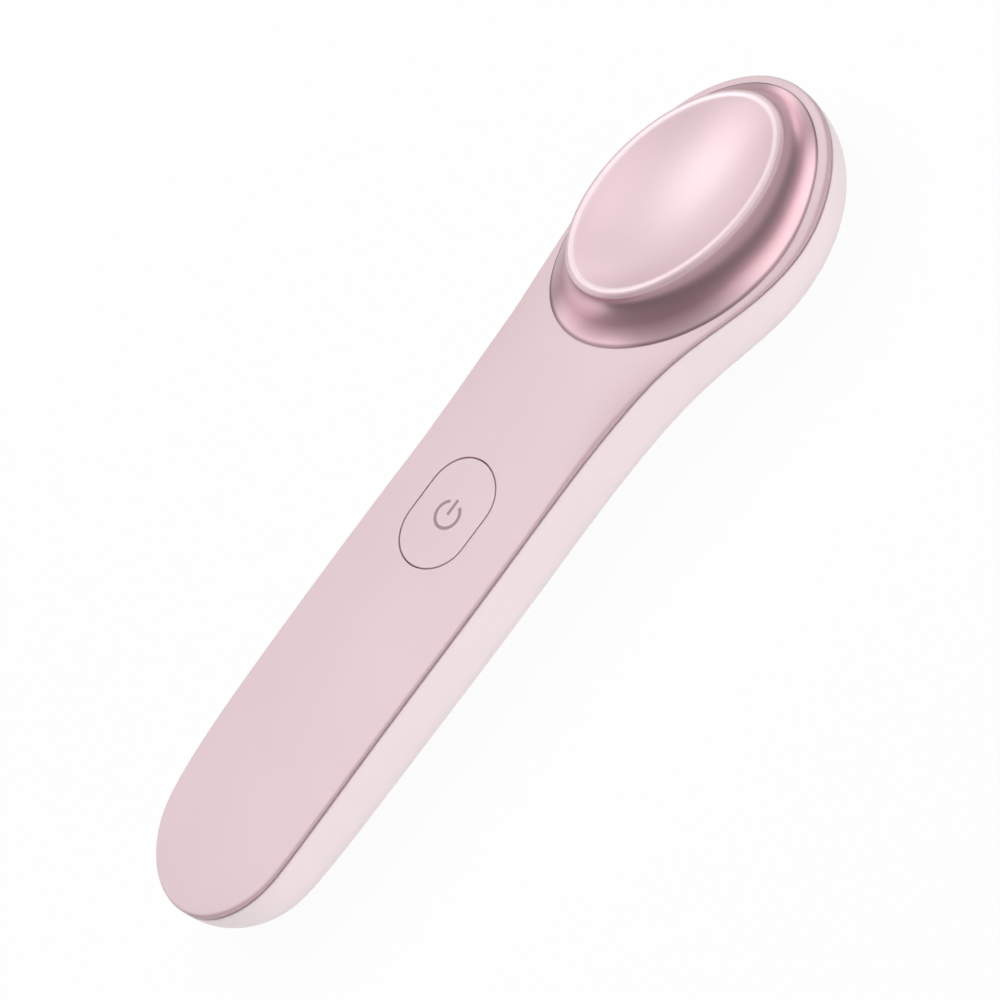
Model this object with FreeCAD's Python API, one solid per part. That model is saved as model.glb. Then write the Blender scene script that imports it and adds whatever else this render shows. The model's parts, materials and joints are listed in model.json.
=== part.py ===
import FreeCAD, Part
import math
import os

Vector = FreeCAD.Vector

# Hand-held heated eye massager lying on its back: +Y runs from the tail to the head, +X is its right
# side, +Z its front, with the origin in the middle of its footprint on the surface that it rests on.
# All lengths in millimetres, all angles in degrees.

# Whole wand
LENGTH = 145.0
CROWN_HEIGHT = 18.0
WALL = 1.8
OVERRUN = 6.0

# Plan outline, half widths from the middle plane
TAIL_HALF_WIDTH = 12.8
TAIL_ROUND_LENGTH = 15.5
REAR_GRIP_HALF_WIDTH = 13.35
REAR_GRIP_FROM_TAIL = 32.0
GRIP_HALF_WIDTH = 13.45
NECK_HALF_WIDTH = 14.0
NECK_FROM_TIP = 50.0
HEAD_HALF_WIDTH = 18.5
HEAD_ROUND_LENGTH = 23.0
ROUND_EXPONENT = 2.0
ROUND_ANGLES = (0, 22, 44, 66)
SHOULDER_SHARES = ((0.36, 0.34), (0.72, 0.84))
SIDE_STATIONS = 36

# Rounded back of the tub
BACK_DEPTH = 12.0
TAIL_CORNER = 10.2
GRIP_CORNER = 11.0
HEAD_CORNER = 7.8
CORNER_BLEND = 30.0
BACK_ANGLES = (90, 75, 60, 45, 30, 15, 0)

# Seam between the covers, measured down from the crown
SEAM_DROP = 2.0
SEAM_TAIL_DROP = 3.85
SEAM_HEAD_DROP = 4.7
SEAM_HEAD_LENGTH = 34.0
DROOP_LENGTH = 13.4
SEAM_GAP = 0.4

# Front face
CROWN_RADIUS = 75.0
SIDE_HEIGHT = 0.8
EDGE_FALL_POWER = 6
EDGE_FALL_SOFTNESS = 0.2
ACROSS_SHARES = (0, 0.35, 0.55, 0.7, 0.8, 0.9, 1.0, 1.1, 1.25, 1.5, 1.8)
CROWN_TAIL_DROP = 4.1
NECK_RISE = 1.7
NECK_RISE_LENGTH = 26.0
NECK_SOFTNESS = 3.0
HEAD_FALL_ANGLE = 8.0
FACE_EDGE_RADIUS = 0.4
LID_WALL = 2.0
TONGUE_CLEARANCE = 0.25
TONGUE_THICKNESS = 1.0
TONGUE_DEPTH = 1.5
TONGUE_ROOT = 0.4
POCKET_STEP = 0.5

# Snap bumps on the tongue
SNAP_LENGTH = 6.0
SNAP_HEIGHT = 0.7
SNAP_BITE = 0.5
SNAP_CLEARANCE = 0.15
SNAP_DROP = 0.7
SNAP_SHARES = (0.2, 0.5, 0.8)

# Metal cup
LIP_HALF_WIDTH = 13.25
LIP_HALF_LENGTH = 19.0
LIP_RISE = 2.7
LIP_TILT = 10.4
LIP_RADIUS = 0.9
LIP_AHEAD = 1.7
SKIRT_HALF_WIDTH = 17.7
SKIRT_HALF_LENGTH = 23.3
SKIRT_TIP_MARGIN = 1.1
SKIRT_BEND_SHARES = (0.08, 0.55)
SKIRT_STEP_SHARES = (1.0, 0.8, 0.6, 0.4, 0.2, 0.0)
SKIRT_UNDERCUT = 9.4
FOOT_RUN_SHARE = 0.3
FOOT_DROP_SHARE = 0.4
CUP_STATIONS = 32
CUP_SHELL = 1.2
CUP_SEAT_GAP = 0.08
HOLLOW_EDGE_ANGLE = 44
HOLLOW_STEP_SHARES = (1.0, 0.85, 0.65, 0.4, 0.12)
LIP_ANGLES = (30, 60, 90, 112)

# Cup fastening
CUP_OPENING_HALF_WIDTH = 9.6
CUP_OPENING_HALF_LENGTH = 15.9
POST_DIAMETER = 3.2
POST_X = 10.6
POST_Y = 9.2
POST_HOLE_DEPTH = 1.9

# Screws, head seat to tip along the shank
SCREW_HEAD_DIAMETER = 2.8
SCREW_HEAD_HEIGHT = 0.9
SCREW_SHANK_DIAMETER = 1.4
SCREW_SLOT_WIDTH = 0.5
SCREW_SLOT_LENGTH = 1.7
SCREW_SLOT_DEPTH = 0.45
SCREW_BITE = 3.5
SCREW_HOLE_CLEARANCE = 0.05
SCREW_PASS_CLEARANCE = 0.2
BOSS_DIAMETER = 4.2
BOSS_FLOOR = 1.4
BOSS_ROOT = 1.0

# Heater under the hollow
FILM_THICKNESS = 0.25
FILM_HALF_WIDTH = 6.6
PAD_THICKNESS = 1.0
PAD_HALF_WIDTH = 5.0
LAYER_GAP = 0.05
BEAD_DIAMETER = 1.2
BEAD_LENGTH = 2.4
BEAD_CLEARANCE = 0.3

# Power button
BUTTON_HALF_WIDTH = 6.0
BUTTON_HALF_LENGTH = 8.74
BUTTON_TO_SKIRT = 21.3
BUTTON_GAP = 0.25
BUTTON_TRAVEL = 0.4
BUTTON_FLANGE = 0.9
BUTTON_FLANGE_THICKNESS = 0.8
BUTTON_STOP_GAP = 0.08
BUTTON_STEM_DIAMETER = 3.4

# Main board
BOARD_WIDTH = 17.0
BOARD_THICKNESS = 1.0
BOARD_BELOW_CROWN = 6.8
BOARD_BEHIND_BUTTON = 9.0
BOARD_SCREW_INSET = 2.3

# Switch under the button
SWITCH_SIZE = 5.2
SWITCH_HEIGHT = 1.5
PLUNGER_DIAMETER = 2.6
PLUNGER_RISE = 0.6
PLUNGER_ROOT = 0.5
PLUNGER_CLEARANCE = 0.06
CONTACT_GAP = 0.05

# Board parts
CHIP_SIZE = 5.0
CHIP_HEIGHT = 0.9
CHARGER_SIZE = 3.0
CHARGER_HEIGHT = 0.8
COIL_SIZE = 4.0
COIL_HEIGHT = 1.8
CAPACITOR_LENGTH = 1.6
CAPACITOR_WIDTH = 0.8
CAPACITOR_COUNT = 5
LED_LENGTH = 1.6
LED_WIDTH = 0.8
LED_HEIGHT = 0.6
LED_FROM_SWITCH = 4.0
SOCKET_WIDTH = 4.0
SOCKET_LENGTH = 3.4
SOCKET_HEIGHT = 2.4
SOCKET_WALL = 0.5
SOCKET_GAP = 0.3

# Battery bay
BATTERY_WIDTH = 15.0
BATTERY_THICKNESS = 7.5
BATTERY_EDGE_RADIUS = 2.0
BATTERY_GAP = 2.0
BATTERY_TAIL_GAP = 4.5
BATTERY_PAD_HEIGHT = 2.6
BATTERY_PAD_WIDTH = 9.0
BATTERY_PAD_INSET = 2.0
BEDDING_GAP = 0.1

# Charging socket and board at the tail
PORT_HEIGHT = 6.4
PORT_RECESS = 2.3
PORT_CLEARANCE = 0.25
USB_WIDTH = 8.94
USB_HEIGHT = 3.26
USB_LENGTH = 7.3
USB_SHEET = 0.3
TONGUE_WIDTH = 6.69
TONGUE_HEIGHT = 0.7
TONGUE_RECESS = 1.0
USB_BOARD_WIDTH = 14.0
USB_BOARD_THICKNESS = 1.0
USB_BOARD_FROM_TAIL = 4.5
USB_BOARD_LENGTH = 11.0
USB_SCREW_INSET = 2.2
USB_SCREW_X = 4.6

# Vibration motor, axis along the wand
MOTOR_HEIGHT = 6.6
MOTOR_DIAMETER = 6.0
MOTOR_LENGTH = 11.0
MOTOR_BEHIND_CUP = 11.6
CAP_LENGTH = 1.2
CAP_DIAMETER = 5.0
BUSH_DIAMETER = 2.2
BUSH_LENGTH = 2.0
SHAFT_DIAMETER = 1.0
SHAFT_CLEARANCE = 0.03
SHAFT_INSIDE = 6.0
WEIGHT_RADIUS = 3.1
WEIGHT_LENGTH = 4.2
WEIGHT_HUB_RADIUS = 1.3
WEIGHT_GAP = 0.6
BOOT_THICKNESS = 1.2
BOOT_LENGTH = 9.0
BOOT_CLEARANCE = 0.04
SADDLE_HALF_WIDTH = 5.6
SADDLE_LENGTH = 1.6
SADDLE_SPREAD = 6.0
CLAMP_THICKNESS = 1.1
CLAMP_LENGTH = 4.6

# Leads
LEAD_DIAMETER = 0.9
LEAD_SPACING = 1.3
LEAD_GAP = 0.06
LEAD_BEND_SHARE = 0.45
LEAD_SIDE_GAP = 0.4
LEAD_REACH = 2.2

# Places along the wand that follow from the sizes above
tail_y = -LENGTH / 2
tip_y = LENGTH / 2
head_y = tip_y - HEAD_ROUND_LENGTH
neck_y = tip_y - NECK_FROM_TIP
skirt_y = tip_y - SKIRT_TIP_MARGIN - SKIRT_HALF_LENGTH
skirt_near_y = skirt_y - SKIRT_HALF_LENGTH
button_y = skirt_near_y - BUTTON_TO_SKIRT - BUTTON_HALF_LENGTH
lip_y = skirt_y + LIP_AHEAD
lip_z = CROWN_HEIGHT + LIP_RISE
board_start = button_y - BOARD_BEHIND_BUTTON
board_end = skirt_near_y
board_bottom = CROWN_HEIGHT - BOARD_BELOW_CROWN
board_top = board_bottom + BOARD_THICKNESS
usb_board_start = tail_y + USB_BOARD_FROM_TAIL
usb_board_end = usb_board_start + USB_BOARD_LENGTH
usb_bottom = PORT_HEIGHT - USB_HEIGHT / 2
usb_board_bottom = usb_bottom - USB_BOARD_THICKNESS
battery_start = usb_board_end + BATTERY_TAIL_GAP
battery_end = board_start - BATTERY_GAP
battery_bottom = WALL + BATTERY_PAD_HEIGHT
motor_start = lip_y - MOTOR_BEHIND_CUP
motor_end = motor_start + MOTOR_LENGTH
boot_y = motor_start + MOTOR_LENGTH / 2
boot_radius = MOTOR_DIAMETER / 2 + BOOT_CLEARANCE + BOOT_THICKNESS
clamp_radius = boot_radius + BOOT_CLEARANCE + CLAMP_THICKNESS
clamp_screw_x = clamp_radius + SCREW_HEAD_DIAMETER / 2
ceiling = CROWN_HEIGHT + LIP_RISE + LIP_HALF_LENGTH


def smooth(share):
    share = min(max(share, 0), 1)
    return share * share * (3 - 2 * share)


def sine(angle):
    return math.sin(math.radians(angle))


def cosine(angle):
    return math.cos(math.radians(angle))


def droop(y):
    return math.exp(-(y - tail_y) / DROOP_LENGTH)


def seam_z(y):
    # Height of the seam line: low at the tail, level along the grip, one step down at the head
    head = smooth((y - skirt_near_y) / SEAM_HEAD_LENGTH)
    return CROWN_HEIGHT - SEAM_DROP - SEAM_TAIL_DROP * droop(y) - SEAM_HEAD_DROP * head


def crown_z(y):
    # Height of the front face on the middle plane
    rise = NECK_RISE * smooth((y - skirt_near_y + NECK_RISE_LENGTH) / NECK_RISE_LENGTH)
    past = NECK_SOFTNESS * math.log(1 + math.exp((y - skirt_near_y) / NECK_SOFTNESS))
    fall = past * math.tan(math.radians(HEAD_FALL_ANGLE))
    return CROWN_HEIGHT + rise - fall - CROWN_TAIL_DROP * droop(y)


def face_half_width(y):
    # Half width that the face is shaped to, held on past the ends of the wand
    return NECK_HALF_WIDTH + (HEAD_HALF_WIDTH - NECK_HALF_WIDTH) * smooth((y - neck_y) / (head_y - neck_y))


def face_z(x, y):
    # Crowned front face, its edges falling off to the side height above the seam where the crown is high
    half = face_half_width(y)
    share = abs(x) / half
    spare = crown_z(y) - half * half / (2 * CROWN_RADIUS) - seam_z(y) - SIDE_HEIGHT
    fall = (spare + math.hypot(spare, EDGE_FALL_SOFTNESS)) / 2
    fall *= share ** EDGE_FALL_POWER if share < 1 else 1 + EDGE_FALL_POWER * (share - 1)
    return crown_z(y) - x * x / (2 * CROWN_RADIUS) - fall


def corner(y):
    # How far the back rounds in from the outline: tighter at both ends than at the grip
    tail = smooth((y - tail_y) / CORNER_BLEND)
    head = smooth((y - neck_y) / (head_y - neck_y))
    grip = TAIL_CORNER + (GRIP_CORNER - TAIL_CORNER) * tail
    return grip + (HEAD_CORNER - grip) * head


def closed_curve(points):
    # Smooth closed curve through evenly spaced points
    curve = Part.BSplineCurve()
    curve.interpolate(Points=points, PeriodicFlag=True, Parameters=list(range(len(points) + 1)))
    return Part.Wire(curve.toShape())


def outline_points():
    # Plan outline from the tail tip up the right side to the head tip and back down the left
    power = 2 / ROUND_EXPONENT
    right = []
    for angle in ROUND_ANGLES:
        along = TAIL_ROUND_LENGTH * (1 - cosine(angle) ** power)
        right.append(Vector(TAIL_HALF_WIDTH * sine(angle) ** power, tail_y + along, 0))
    right.append(Vector(TAIL_HALF_WIDTH, tail_y + TAIL_ROUND_LENGTH, 0))
    right.append(Vector(REAR_GRIP_HALF_WIDTH, tail_y + REAR_GRIP_FROM_TAIL, 0))
    right.append(Vector(GRIP_HALF_WIDTH, button_y, 0))
    right.append(Vector(NECK_HALF_WIDTH, neck_y, 0))
    for along, out in SHOULDER_SHARES:
        half_width = NECK_HALF_WIDTH + out * (HEAD_HALF_WIDTH - NECK_HALF_WIDTH)
        right.append(Vector(half_width, neck_y + along * (head_y - neck_y), 0))
    for angle in ROUND_ANGLES:
        half_width = HEAD_HALF_WIDTH * cosine(angle) ** power
        right.append(Vector(half_width, head_y + HEAD_ROUND_LENGTH * sine(angle) ** power, 0))
    tip = Vector(0, tip_y, 0)
    left = [Vector(-point.x, point.y, point.z) for point in reversed(right[1:])]
    return right + [tip] + left


def outline_stations():
    # Evenly spaced points round the outline, each with the way inwards, the left side mirrored
    curve = Part.BSplineCurve()
    curve.interpolate(Points=outline_points(), PeriodicFlag=True)
    loop = curve.toShape()
    right = []
    for step in range(1, SIDE_STATIONS):
        place = loop.getParameterByLength(loop.Length * step / (2 * SIDE_STATIONS))
        along = loop.tangentAt(place)
        right.append((loop.valueAt(place), Vector(-along.y, along.x, 0)))
    tail = (Vector(0, tail_y, 0), Vector(0, 1, 0))
    tip = (Vector(0, tip_y, 0), Vector(0, -1, 0))
    left = [(Vector(-point.x, point.y, 0), Vector(-way.x, way.y, 0)) for point, way in reversed(right)]
    return [tail] + right + [tip] + left


STATIONS = outline_stations()


def half_width(y):
    # Half width of the outline at one place along the wand
    right = [point for point, _ in STATIONS[:SIDE_STATIONS + 1]]
    for low, high in zip(right, right[1:]):
        if low.y <= y <= high.y:
            return low.x + (high.x - low.x) * (y - low.y) / (high.y - low.y)
    return 0


def outline_wire(inset, z):
    # Closed plan outline at height z, drawn in by an inset that may change along the wand
    points = []
    for point, inward in STATIONS:
        points.append(point + inward * inset(point.y) + Vector(0, 0, z))
    return closed_curve(points)


def outline_prism(inset, low, high):
    return Part.Face(outline_wire(lambda y: inset, low)).extrude(Vector(0, 0, high - low))


def along_stations():
    start = tail_y - OVERRUN
    run = tip_y + OVERRUN - start
    return [start + run * step / SIDE_STATIONS for step in range(SIDE_STATIONS + 1)]


def above_seam(shift):
    # Everything above the seam surface, moved by shift
    reach = HEAD_HALF_WIDTH + OVERRUN
    curve = Part.BSplineCurve()
    curve.interpolate([Vector(-reach, y, seam_z(y) + shift) for y in along_stations()])
    surface = curve.toShape().extrude(Vector(2 * reach, 0, 0))
    return surface.extrude(Vector(0, 0, ceiling))


def below_face(shift):
    # Everything below the front face, moved by shift
    shares = [-share for share in reversed(ACROSS_SHARES[1:])] + list(ACROSS_SHARES)
    rows = []
    for y in along_stations():
        xs = [share * face_half_width(y) for share in shares]
        rows.append([Vector(x, y, face_z(x, y) + shift) for x in xs])
    surface = Part.BSplineSurface()
    surface.interpolate(rows)
    return surface.toShape().extrude(Vector(0, 0, -ceiling))


def tub(inset, top):
    # Rounded tub inside the outline, up to a flat top
    sections = []
    for angle in BACK_ANGLES:
        z = inset + (BACK_DEPTH - inset) * (1 - sine(angle))
        share = 1 - cosine(angle)
        sections.append(outline_wire(lambda y: inset + (corner(y) - inset) * share, z))
    return Part.makeLoft(sections, True).fuse(outline_prism(inset, BACK_DEPTH, top))


def box(x, y, z, width, length, height):
    # Block centred on x and y that stands on z
    return Part.makeBox(width, length, height, Vector(x - width / 2, y - length / 2, z))


def rod(x, y, low, high, diameter):
    return Part.makeCylinder(diameter / 2, high - low, Vector(x, y, low))


def rod_along(y, length, diameter):
    # Cylinder on the motor's axis
    return Part.makeCylinder(diameter / 2, length, Vector(0, y, MOTOR_HEIGHT), Vector(0, 1, 0))


def slot_prism(half_width, half_length, y, low, high):
    # Long-round prism with its straight sides along the wand
    straight = half_length - half_width
    shape = box(0, y, low, 2 * half_width, 2 * straight, high - low)
    for end in (-1, 1):
        shape = shape.fuse(rod(0, y + end * straight, low, high, 2 * half_width))
    return shape.removeSplitter()


def oval_prism(half_width, half_length, y, low, high):
    ellipse = Part.Ellipse(Vector(0, y + half_length, low), Vector(half_width, y, low), Vector(0, y, low))
    return Part.Face(Part.Wire(ellipse.toShape())).extrude(Vector(0, 0, high - low))


def screw(x, y, seat, bite, turn):
    # Cross-slot screw: turn is 1 with its head on top, -1 with its head below
    shape = Part.makeCylinder(SCREW_HEAD_DIAMETER / 2, SCREW_HEAD_HEIGHT, Vector(0, 0, 0))
    shape = shape.fuse(Part.makeCylinder(SCREW_SHANK_DIAMETER / 2, bite, Vector(0, 0, -bite)))
    floor = SCREW_HEAD_HEIGHT - SCREW_SLOT_DEPTH
    shape = shape.cut(box(0, 0, floor, SCREW_SLOT_WIDTH, SCREW_SLOT_LENGTH, OVERRUN))
    shape = shape.cut(box(0, 0, floor, SCREW_SLOT_LENGTH, SCREW_SLOT_WIDTH, OVERRUN))
    if turn < 0:
        shape.rotate(Vector(0, 0, 0), Vector(1, 0, 0), 180)
    shape.translate(Vector(x, y, seat))
    return shape


def lead(points):
    # Round lead along straight runs joined by tangent arcs
    edges = []
    start = points[0]
    for before, here, after in zip(points, points[1:], points[2:]):
        back = before - here
        ahead = after - here
        turn = math.pi - back.getAngle(ahead)
        reach = LEAD_BEND_SHARE * min(back.Length, ahead.Length)
        radius = reach / math.tan(turn / 2)
        back.normalize()
        ahead.normalize()
        middle = back + ahead
        middle.normalize()
        enter = here + back * reach
        leave = here + ahead * reach
        deepest = here + middle * (radius / math.cos(turn / 2) - radius)
        edges.append(Part.LineSegment(start, enter).toShape())
        edges.append(Part.Arc(enter, deepest, leave).toShape())
        start = leave
    edges.append(Part.LineSegment(start, points[-1]).toShape())
    circle = Part.Circle(points[0], points[1] - points[0], LEAD_DIAMETER / 2)
    return Part.Wire(edges).makePipeShell([Part.Wire(circle.toShape())], True, False)


def button_underside():
    # Level of the lid's underside round the button, which the flange stops against
    return seam_z(button_y - BUTTON_HALF_LENGTH) + SEAM_GAP / 2


def board_screw_places():
    x = BOARD_WIDTH / 2 - BOARD_SCREW_INSET
    ys = (board_start + BOARD_SCREW_INSET, board_end - BOARD_SCREW_INSET)
    return [(side * x, y) for side in (-1, 1) for y in ys]


def usb_screw_places():
    return [(side * USB_SCREW_X, usb_board_end - USB_SCREW_INSET) for side in (-1, 1)]


def clamp_screw_places():
    return [(side * clamp_screw_x, boot_y) for side in (-1, 1)]


def post_places():
    return [(x * POST_X, lip_y + y * POST_Y) for x in (-1, 1) for y in (-1, 1)]


def snap_places():
    run = neck_y - battery_start
    return [(side, battery_start + share * run) for side in (-1, 1) for share in SNAP_SHARES]


def snap_block(side, y, bite, clearance):
    # Block that reaches from the middle of the tongue into the tub's wall
    outer = half_width(y) - WALL + bite
    inner = half_width(y) - WALL - TONGUE_CLEARANCE - TONGUE_THICKNESS / 2
    height = SNAP_HEIGHT + 2 * clearance
    z = seam_z(y) - SNAP_DROP - SNAP_HEIGHT - clearance
    middle = side * (outer + inner) / 2
    return box(middle, y, z, outer - inner, SNAP_LENGTH + 2 * clearance, height)


def boss(x, y, top, bite):
    # Screw boss on the tub's floor with its pilot hole
    hole = SCREW_SHANK_DIAMETER + 2 * SCREW_HOLE_CLEARANCE
    drilled = rod(x, y, max(top - bite, BOSS_FLOOR), top + OVERRUN, hole)
    return rod(x, y, BOSS_ROOT, top, BOSS_DIAMETER), drilled


def port_prism(grow, start, length):
    # Flat long-round prism along the wand at the socket's height
    height = USB_HEIGHT + 2 * grow
    straight = USB_WIDTH - USB_HEIGHT
    shape = Part.makeBox(straight, length, height, Vector(-straight / 2, start, PORT_HEIGHT - height / 2))
    for side in (-1, 1):
        place = Vector(side * straight / 2, start, PORT_HEIGHT)
        shape = shape.fuse(Part.makeCylinder(height / 2, length, place, Vector(0, 1, 0)))
    return shape.removeSplitter()


def make_rear_cover():
    outside = tub(0, CROWN_HEIGHT)
    shape = outside.cut(tub(WALL, CROWN_HEIGHT + OVERRUN))
    holes = []
    for places, top, bite in ((board_screw_places(), board_bottom, SCREW_BITE),
                              (usb_screw_places(), usb_board_bottom, SCREW_BITE),
                              (clamp_screw_places(), MOTOR_HEIGHT, SCREW_BITE)):
        for x, y in places:
            post, hole = boss(x, y, top, bite)
            shape = shape.fuse(post.common(outside))
            holes.append(hole)
    for end in (-1, 1):
        y = boot_y + end * SADDLE_SPREAD / 2
        height = MOTOR_HEIGHT - BOSS_ROOT
        shape = shape.fuse(box(0, y, BOSS_ROOT, 2 * SADDLE_HALF_WIDTH, SADDLE_LENGTH, height).common(outside))
    holes.append(rod_along(boot_y - BOOT_LENGTH, 2 * BOOT_LENGTH, 2 * (boot_radius + BOOT_CLEARANCE)))
    holes.append(port_prism(PORT_CLEARANCE, tail_y - OVERRUN, OVERRUN + PORT_RECESS + USB_LENGTH))
    for side, y in snap_places():
        holes.append(snap_block(side, y, SNAP_BITE + SNAP_CLEARANCE, SNAP_CLEARANCE))
    holes.append(above_seam(-SEAM_GAP / 2))
    return shape.cut(holes)


def tongue_ring(low, high):
    # Ring of the lid that plugs into the tub
    outer = WALL + TONGUE_CLEARANCE
    ring = Part.Face([outline_wire(lambda y: outer, low), outline_wire(lambda y: outer + TONGUE_THICKNESS, low)])
    ring.validate()
    ring = ring.extrude(Vector(0, 0, high - low)).common(above_seam(-TONGUE_DEPTH))
    return ring.cut(above_seam(SEAM_GAP / 2 + TONGUE_ROOT))


def make_front_cover():
    low = CROWN_HEIGHT - SEAM_DROP - SEAM_TAIL_DROP - SEAM_HEAD_DROP - TONGUE_DEPTH - OVERRUN
    shape = outline_prism(0, low, ceiling).common(below_face(0)).common(above_seam(SEAM_GAP / 2))
    shape = shape.fuse(tongue_ring(low, ceiling))
    rim = [edge for edge in shape.Edges if edge.BoundBox.YLength > LENGTH / 2
           and edge.BoundBox.ZMax > CROWN_HEIGHT - SEAM_DROP + SEAM_GAP]
    shape = shape.makeFillet(FACE_EDGE_RADIUS, rim)
    for side, y in snap_places():
        shape = shape.fuse(snap_block(side, y, SNAP_BITE, 0))
    inner = WALL + TONGUE_CLEARANCE + TONGUE_THICKNESS + POCKET_STEP
    pocket = outline_prism(inner, low, ceiling).common(below_face(-LID_WALL))
    holes = [pocket.cut(box(0, neck_y - LENGTH / 2, 0, LENGTH, LENGTH, ceiling))]
    half_width_hole = BUTTON_HALF_WIDTH + BUTTON_GAP
    half_length_hole = BUTTON_HALF_LENGTH + BUTTON_GAP
    holes.append(slot_prism(half_width_hole, half_length_hole, button_y, low, ceiling))
    holes.append(oval_prism(CUP_OPENING_HALF_WIDTH, CUP_OPENING_HALF_LENGTH, lip_y, low, ceiling))
    for x, y in post_places():
        holes.append(rod(x, y, low, ceiling, SCREW_SHANK_DIAMETER + 2 * SCREW_PASS_CLEARANCE))
        seat = post_seat(x, y)
        holes.append(rod(x, y, low, seat, SCREW_HEAD_DIAMETER + 2 * SCREW_PASS_CLEARANCE))
    return shape.cut(holes)


def post_seat(x, y):
    # Where a cup screw's head sits under the lid, which is drilled flat there
    return face_z(x, y) - LID_WALL + SCREW_PASS_CLEARANCE


def hollow_rim():
    # Half width and half length of the hollow where it leaves the rounded lip, and its drop from the crest
    inset = LIP_RADIUS * (1 + sine(HOLLOW_EDGE_ANGLE))
    return LIP_HALF_WIDTH - inset, LIP_HALF_LENGTH - inset, LIP_RADIUS * (1 - cosine(HOLLOW_EDGE_ANGLE))


def hollow_drop(share, grow):
    # Depth below the lip's crest of the hollow's surface, or of a layer that far under it
    rim, _, drop = hollow_rim()
    radius = rim / sine(HOLLOW_EDGE_ANGLE)
    sunk = math.sqrt((radius + grow) ** 2 - (share * rim) ** 2) - radius * cosine(HOLLOW_EDGE_ANGLE)
    return drop + sunk


def cup_point(across, along, drop):
    # Point given in the cup's own tilted frame, from the middle of the lip's crest
    y = lip_y + along * cosine(LIP_TILT) - drop * sine(LIP_TILT)
    return Vector(across, y, lip_z - along * sine(LIP_TILT) - drop * cosine(LIP_TILT))


def lip_point(angle, inset, drop):
    across = (LIP_HALF_WIDTH - inset) * cosine(angle)
    return cup_point(across, (LIP_HALF_LENGTH - inset) * sine(angle), drop)


def hollow_point(angle, share, grow):
    half_across, half_along, _ = hollow_rim()
    along = share * half_along * sine(angle)
    return cup_point(share * half_across * cosine(angle), along, hollow_drop(share, grow))


def skirt_points(angle, inset, drop):
    # One line up the skirt to the lip, begun on a flat cut below the front face that is trimmed off later
    bend_out, bend_down = SKIRT_BEND_SHARES
    lip = lip_point(angle, inset, drop)
    x = (SKIRT_HALF_WIDTH - inset) * cosine(angle)
    y = skirt_y + (SKIRT_HALF_LENGTH - inset) * sine(angle)
    foot = Vector(x, y, face_z(x, y))
    span = foot - lip
    out = FOOT_RUN_SHARE * (1 - bend_out)
    run = Vector(span.x * out, span.y * out, span.z * FOOT_DROP_SHARE * (1 - bend_down))
    below = foot + run
    flat = below + Vector(run.x, run.y, 0)
    flat.z = lip_z - SKIRT_UNDERCUT - inset - (flat.y - lip_y) * math.tan(math.radians(LIP_TILT))
    points = [flat, below]
    for share in SKIRT_STEP_SHARES:
        bend = 2 * share * (1 - share)
        out = bend * bend_out + share * share
        down = bend * bend_down + share * share
        points.append(lip + Vector(span.x * out, span.y * out, span.z * down))
    return points


def skin_solid(rings, breaks):
    # Solid inside a skin through closed rings, smooth between the breaks, flat at both ends
    faces = [Part.Face(rings[0]), Part.Face(rings[-1])]
    for start, stop in zip(breaks, breaks[1:]):
        faces += Part.makeLoft(rings[start:stop + 1], False).Faces
    shell = Part.makeShell(faces)
    shell.sewShape()
    solid = Part.makeSolid(shell)
    if solid.Volume < 0:
        solid.reverse()
    return solid


def cup_solid(shell):
    # Body under the cup's skin, or with a shell the space inside it
    lines = []
    shares = HOLLOW_STEP_SHARES if shell == 0 else HOLLOW_STEP_SHARES[1:]
    turns = LIP_ANGLES if shell == 0 else ()
    for step in range(CUP_STATIONS):
        angle = 360 * step / CUP_STATIONS
        line = skirt_points(angle, shell, LIP_RADIUS + shell)
        skirt_end = len(line) - 1
        for turn in turns:
            inset = LIP_RADIUS * (1 - cosine(turn))
            line.append(lip_point(angle, inset, LIP_RADIUS * (1 - sine(turn))))
        lip_end = len(line) if turns else skirt_end
        for share in shares:
            line.append(hollow_point(angle, share, shell))
        lines.append(line)
    rings = [closed_curve(list(ring)) for ring in zip(*lines)]
    return skin_solid(rings, sorted({0, skirt_end, lip_end, len(rings) - 1}))


def make_massage_head():
    body = cup_solid(0)
    shape = body.cut(cup_solid(CUP_SHELL))
    for x, y in post_places():
        shape = shape.fuse(rod(x, y, 0, ceiling, POST_DIAMETER).common(body))
    well = oval_prism(CUP_OPENING_HALF_WIDTH, CUP_OPENING_HALF_LENGTH, lip_y, -ceiling, ceiling)
    holes = [below_face(CUP_SEAT_GAP).cut(well)]
    for x, y in post_places():
        foot = face_z(x, y)
        hole = SCREW_SHANK_DIAMETER + 2 * SCREW_HOLE_CLEARANCE
        holes.append(rod(x, y, foot - OVERRUN, foot + POST_HOLE_DEPTH, hole))
    return shape.cut(holes)


def make_head_screws():
    screws = []
    for x, y in post_places():
        seat = post_seat(x, y)
        bite = face_z(x, y) + POST_HOLE_DEPTH - SCREW_HOLE_CLEARANCE - seat
        screws.append(screw(x, y, seat, bite, -1))
    return Part.makeCompound(screws)


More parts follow.
